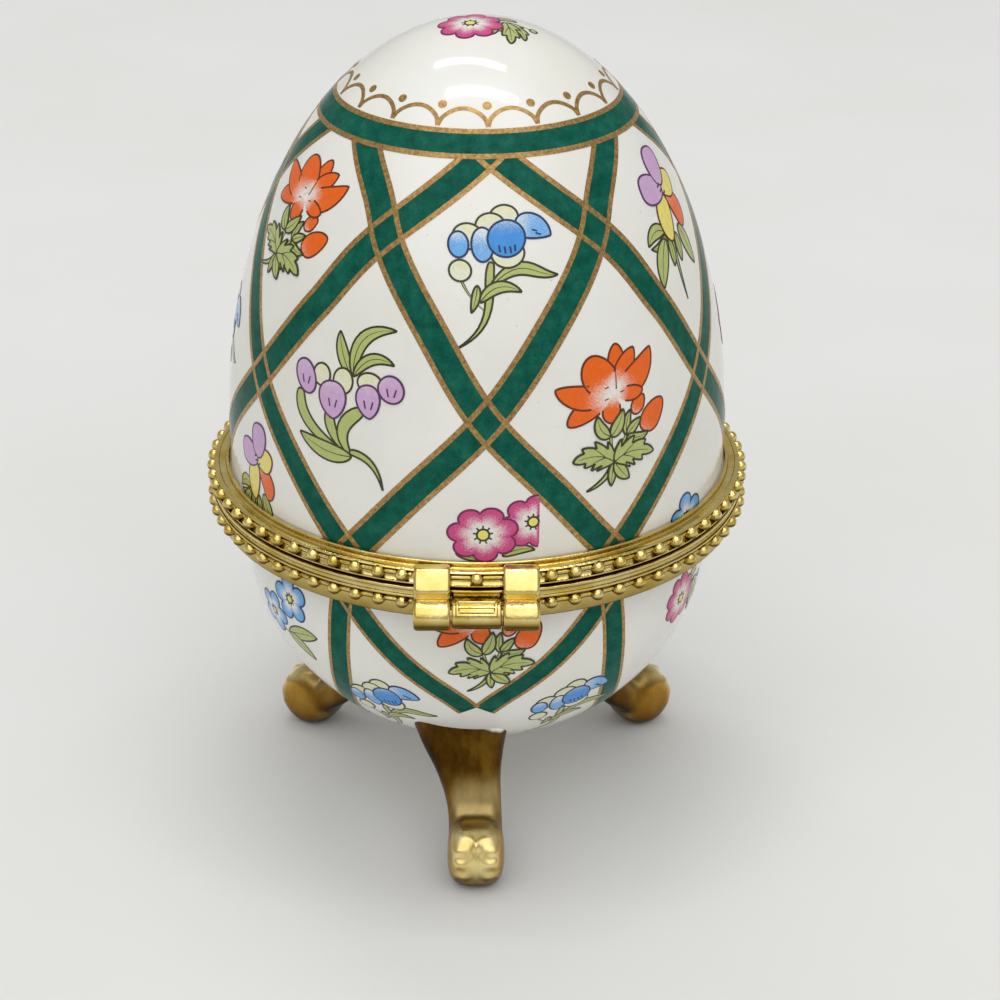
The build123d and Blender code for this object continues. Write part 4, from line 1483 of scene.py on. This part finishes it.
def berry_sprig(pen):
    """Four berries on broad stems under three arched leaves."""
    pen.leaf([(0.1, 1.6), (-1.3, 4.0), (-1.9, 6.3)], 1.5)
    pen.leaf([(0.3, 1.8), (1.2, 6.0), (4.9, 7.4)], 1.6)
    pen.leaf([(0.4, 1.7), (2.4, 3.9), (5.1, 3.6)], 1.3)
    pen.stalk([(-6.7, -1.4), (-5.2, -4.9), (0.4, -7.4)], 1.4)
    pen.stalk([(-2.3, -2.8), (-1.9, -5.0), (0.4, -7.3)], 1.3)
    pen.stalk([(1.8, -2.0), (-0.5, -4.6), (0.7, -7.4)], 1.6)
    pen.leaf([(0.7, -7.5), (-2.9, -7.5), (-6.5, -6.3)], 2.1)
    pen.stalk([(0.5, -7.0), (3.2, -7.9), (4.7, -10.8)], 0.75, 0.9)
    for centre, width, height in (
        ((-3.8, 1.0), 2.3, 2.5),
        ((-0.9, 0.9), 2.5, 2.9),
        ((2.4, 1.3), 2.9, 2.2),
    ):
        pen.oval(centre, width, height, CREAM, LEAF_INK, (0.9, 0.6))
    for top, foot, width, tip in (
        ((-6.9, 2.0), (-5.2, -1.5), 2.8, 0.5),
        ((-2.4, 0.6), (-1.8, -3.6), 3.6, 0.65),
        ((2.1, 1.0), (2.8, -2.7), 2.9, 0.65),
        ((3.9, 2.0), (6.2, -0.2), 2.8, 0.5),
    ):
        middle = ((top[0] + foot[0]) / 2, (top[1] + foot[1]) / 2)
        pen.blade([top, middle, foot], width, VIOLET, VIOLET_INK, 0.45, tip, (0.6, 1.05))
        pen.dashes([(middle[0] - 0.5, middle[1] + 0.1)], (0.25, -0.9), VIOLET_INK, 0.2)
        pen.dashes([(middle[0] + 0.6, middle[1] + 0.1)], (-0.2, -0.9), VIOLET_INK, 0.2)


def pansy_sprig(pen):
    """A pansy with two violet petals, two yellow ones and an orange one."""
    pen.stalk([(-0.3, -2.8), (-0.8, -6.2), (-0.6, -10.1)], 0.5, 0.9)
    for line, width in (
        ([(-1.6, -1.8), (-3.4, -1.3), (-5.3, -2.5)], 1.7),
        ([(-1.7, -2.1), (-3.0, -3.0), (-5.0, -2.9)], 1.1),
        ([(-2.0, -2.5), (-3.8, -4.8), (-4.8, -7.5)], 2.1),
        ([(-1.2, -2.6), (-1.3, -4.4), (-1.6, -5.8)], 1.1),
        ([(0.6, -2.5), (0.5, -4.2), (0.3, -5.8)], 1.2),
        ([(2.0, -2.0), (2.7, -4.4), (3.5, -7.1)], 1.9),
    ):
        pen.leaf(line, width)
    pen.blade([(1.6, 1.6), (3.3, -0.3), (2.9, -2.5)], 2.7, ORANGE, ORANGE_INK, 0.5, 0.5, (0.6, 1.0))
    pen.blade([(1.0, 2.0), (-0.3, -0.4), (-0.4, -3.2)], 3.0, YELLOW, ORANGE_INK, 0.45, 0.55)
    pen.blade([(1.0, 2.5), (3.0, 2.7), (4.7, 2.3)], 3.3, YELLOW, ORANGE_INK, 0.5, 0.4)
    pen.blade([(1.4, 2.5), (-0.9, 3.1), (-3.0, 3.5)], 3.6, VIOLET, VIOLET_INK, 0.5, 0.35, (0.7, 1.05))
    pen.blade([(1.5, 2.9), (1.9, 5.4), (2.2, 7.5)], 3.4, VIOLET, VIOLET_INK, 0.5, 0.4, (0.7, 1.05))
    pen.dashes([(0.5, 2.9), (0.7, 2.3), (1.1, 1.8)], (0.8, 0.3), VIOLET_INK, 0.26)


def pink_sprig(pen):
    """Two round flowers just above the rim, the second trimmed on its right."""
    pen.leaf([(-3.0, -2.3), (-1.8, -2.7), (-0.4, -3.3)], 0.8)
    pen.leaf([(2.2, -2.7), (4.0, -2.0), (5.8, -2.2)], 1.1)
    pen.bloom((5.6, 1.3), 7.2, 6.4, 7, 0.72, PINK, PINK_INK, 8, 6.3)
    pen.bloom((0.0, 0.0), 8.0, 6.7, 7, 0.72, PINK, PINK_INK, 20)


def forget_me_nots(pen):
    """Two five-petalled flowers and two leaves."""
    pen.leaf([(-1.8, -5.5), (1.4, -4.2), (4.1, -3.7)], 2.0)
    pen.leaf([(-1.8, -5.5), (0.4, -6.4), (2.3, -7.9)], 1.7)
    pen.stem([(-4.5, -3.6), (-3.4, -5.0), (-1.8, -5.5)], 0.24)
    pen.bloom((-4.5, -3.4), 5.8, 5.8, 5, 0.5, BLUE, BLUE_INK, 20)
    pen.bloom((0.0, 0.24), 6.2, 6.2, 5, 0.5, BLUE, BLUE_INK, -10)


def pink_and_leaves(pen):
    """A round flower with a fan of saw-edged leaves beside it."""
    pen.stem([(3.6, 0.8), (5.2, 0.9), (6.9, 0.5)], 0.24)
    pen.oval((7.2, 0.4), 0.9, 1.0, LEAF, LEAF_INK)
    pen.leaf([(2.6, 1.6), (4.0, 2.3), (5.2, 1.9)], 1.2)
    pen.toothed_leaf([(4.0, 0.9), (3.1, -0.8), (2.4, -2.8)], 2.0, 3)
    pen.toothed_leaf([(4.1, 0.9), (5.6, -0.6), (6.2, -2.9)], 2.0, 3)
    pen.toothed_leaf([(4.0, 0.9), (4.5, -1.6), (4.6, -4.2)], 2.7, 3)
    pen.bloom((0.0, 0.0), 7.4, 7.4, 8, 0.7, PINK, PINK_INK, 12)


def on_half(half, angle, climb, turn, size):
    """Places a motif, turned and sized, on the outside of a half egg."""
    cos = math.cos(math.radians(turn)) * size
    sin = math.sin(math.radians(turn)) * size

    def place(grid):
        across = grid[..., 0] * cos - grid[..., 1] * sin
        climbs = climb + grid[..., 0] * sin + grid[..., 1] * cos
        return angle + np.degrees(across / half.girth(climbs)), climbs

    return place


def on_pole(half, x, y):
    """Places a motif over the top of the egg, where the pole is at the middle of a flat map."""

    def place(grid):
        across, back = x + grid[..., 0], y + grid[..., 1]
        return np.degrees(np.arctan2(across, -back)), half.lengths[-1] - np.hypot(across, back)

    return place


def repeated(count, *places):
    """Sprigs that come again at even turns round the egg."""
    turns = [n * 360 / count for n in range(count)]
    return [(motif, angle + turn, *rest) for motif, angle, *rest in places for turn in turns]


# Sprigs as (motif, angle, climb, turn, size). Most of the lid's come again after a half turn.
LID_SPRIGS = (
    *repeated(
        2,
        (bell_sprig, 4.7, 30.8, 0, 1.0),
        (pansy_sprig, 62.7, 31.6, 0, 1.0),
        (orange_sprig, -60.3, 30.4, -10, 0.95),
        (orange_sprig, 30.9, 10.8, 0, 1.0),
        (berry_sprig, -29.4, 15.1, 0, 1.0),
    ),
    (pink_and_leaves, 91.5, 14.0, 0, 1.0),
    (bell_sprig, 271.5, 13.0, 0, 1.0),
)
LID_RIM_SPRIGS = repeated(
    2,
    (pink_sprig, 1.3, -0.14, 0, 1.0),
    (forget_me_nots, 54.0, -4.2, 0, 1.0),
    (pansy_sprig, -59.0, 0.0, 8, 0.9),
)
BOWL_SPRIGS = (
    *repeated(3, (orange_sprig, 1.9, -1.7, 12, 0.93)),
    (forget_me_nots, -51, -1.5, 0, 1.0),
    (pink_and_leaves, 60, -3.0, 0, 0.9),
    (forget_me_nots, 189, -1.5, 0, 1.0),
    *repeated(3, (bell_sprig, -26, -14.0, 10, 0.88), (bell_sprig, 26, -14.0, 10, 0.88)),
)
POLE_FLOWER = (-0.9, -1.6)


def sprigs(half, places, name, body):
    """One piece of printed flowers."""
    flowers = Print(half)
    for motif, *place in places:
        motif(Pen(flowers, on_half(half, *place)))
    flowers.piece(name, body, FLOWER_PRINT)


def lid_printing():
    green, gold, crown = Print(LID), Print(LID), Print(LID)
    lid_trellis(green, gold)
    lid_band(green, gold)
    lid_scallops(gold)
    pink_and_leaves(Pen(crown, on_pole(LID, *POLE_FLOWER)))
    green.piece("lid_ribbons", "lid", GREEN)
    gold.piece("lid_gold_lines", "lid", LUSTRE)
    crown.piece("lid_crown_flower", "lid", FLOWER_PRINT)
    sprigs(LID, LID_SPRIGS, "lid_flowers", "lid")
    sprigs(LID, LID_RIM_SPRIGS, "lid_rim_flowers", "lid")


def bowl_printing():
    green, gold = Print(BOWL), Print(BOWL)
    bowl_ribbons(green, gold)
    green.piece("bowl_ribbons", "base", GREEN)
    gold.piece("bowl_gold_lines", "base", LUSTRE)
    sprigs(BOWL, BOWL_SPRIGS, "bowl_flowers", "base")


# Floor, lights and camera. Lengths in this part are metres, but for the camera's.
FLOOR_SIZE = 20.0
WORLD_STOPS = ((0.0, 0.24), (0.8, 0.27), (0.97, 1.0))
WORLD_BRIGHT_SIDE = (0.0, -0.53, 0.85)
WORLD_STRENGTH = 1.45

# Strip lights above the egg as (place, length, width, slant in degrees, power).
STRIPS = (
    ((-0.0625, 0.2785, 0.9), 0.53, 0.07, -13.4, 1.1),
    ((0.0325, -0.0355, 0.9), 0.54, 0.07, -4.8, 1.1),
)
FILL_PLACE = (0.15, -1.1, 0.75)
FILL_SIZE = (1.2, 1.0)
FILL_POWER = 1.0
FILL_AIM = (0, 0, 0.05)


def floor():
    half = FLOOR_SIZE / 2
    mesh = bpy.data.meshes.new("floor")
    corners = [(-half, -half, 0), (half, -half, 0), (half, half, 0), (-half, half, 0)]
    mesh.from_pydata(corners, [], [(0, 1, 2, 3)])
    mesh.materials.append(floor_card())
    in_scene("floor", mesh)


def point_at(thing, place, aim, spin):
    """Puts a light or camera at a place, turned towards another and spun about that way."""
    thing.location = place
    turn = (Vector(aim) - Vector(place)).to_track_quat("-Z", "Y").to_matrix()
    thing.rotation_euler = (turn @ Matrix.Rotation(spin, 3, "Z")).to_euler()


def area_light(name, place, size, power, aim, spin=0.0):
    light = bpy.data.lights.new(name, "AREA")
    light.shape = "RECTANGLE"
    light.size, light.size_y = size
    light.energy = power
    thing = in_scene(name, light)
    point_at(thing, place, aim, math.radians(spin))
    return thing


def studio():
    """A grey room that brightens softly in front of the egg and above it."""
    world = bpy.data.worlds.new("studio")
    world.use_nodes = True
    room = Nodes(world.node_tree)
    way = room.node("ShaderNodeTexCoord").outputs["Generated"]
    facing = room.node("ShaderNodeVectorMath", {0: way, 1: WORLD_BRIGHT_SIDE}, operation="DOT_PRODUCT")
    share = room.node("ShaderNodeMapRange", {"Value": facing.outputs["Value"], "From Min": -1})
    glow = room.ramp(share.outputs["Result"], *WORLD_STOPS)
    glow.node.color_ramp.interpolation = "EASE"
    background = room.tree.nodes["Background"]
    background.inputs["Strength"].default_value = WORLD_STRENGTH
    room.tree.links.new(glow, background.inputs["Color"])
    return world


def lights():
    for number, (place, length, width, slant, power) in enumerate(STRIPS):
        below = (place[0], place[1], 0)
        area_light(f"strip_{number}", place, (length, width), power, below, slant)
    fill = area_light("fill", FILL_PLACE, FILL_SIZE, FILL_POWER, FILL_AIM)
    fill.visible_glossy = False
    bpy.context.scene.world = studio()


def camera():
    data = bpy.data.cameras.new("camera")
    data.lens = LENS_MM
    data.sensor_width = SENSOR_MM
    data.clip_start = CLIP_START * MM
    thing = in_scene("camera", data)
    back = Vector((0, -math.cos(CAMERA_ELEVATION), math.sin(CAMERA_ELEVATION)))
    place = Vector((0, 0, CAMERA_AIM[2])) + back * CAMERA_DISTANCE
    point_at(thing, place * MM, Vector(CAMERA_AIM) * MM, CAMERA_ROLL)
    bpy.context.scene.camera = thing


def cement_beds():
    """The cement keeps its CAD shape."""
    for node in ("lid_cement", "bowl_cement"):
        bed = frame["nodes"][node]
        bed.data.materials.clear()
        bed.data.materials.append(CEMENT)


def build():
    piece("porcelain_lid", LID.shell().mesh(weld=True), "lid", "porcelain", PORCELAIN, "lid_shell")
    piece("porcelain_bowl", BOWL.shell().mesh(weld=True), "base", "porcelain", PORCELAIN, "base_bowl")
    upper_rim()
    lower_rim()
    beading()
    hinge_pin()
    feet()
    cement_beds()
    lid_printing()
    bowl_printing()
    floor()
    lights()
    camera()
    bpy.context.scene.view_settings.view_transform = "Standard"


build()
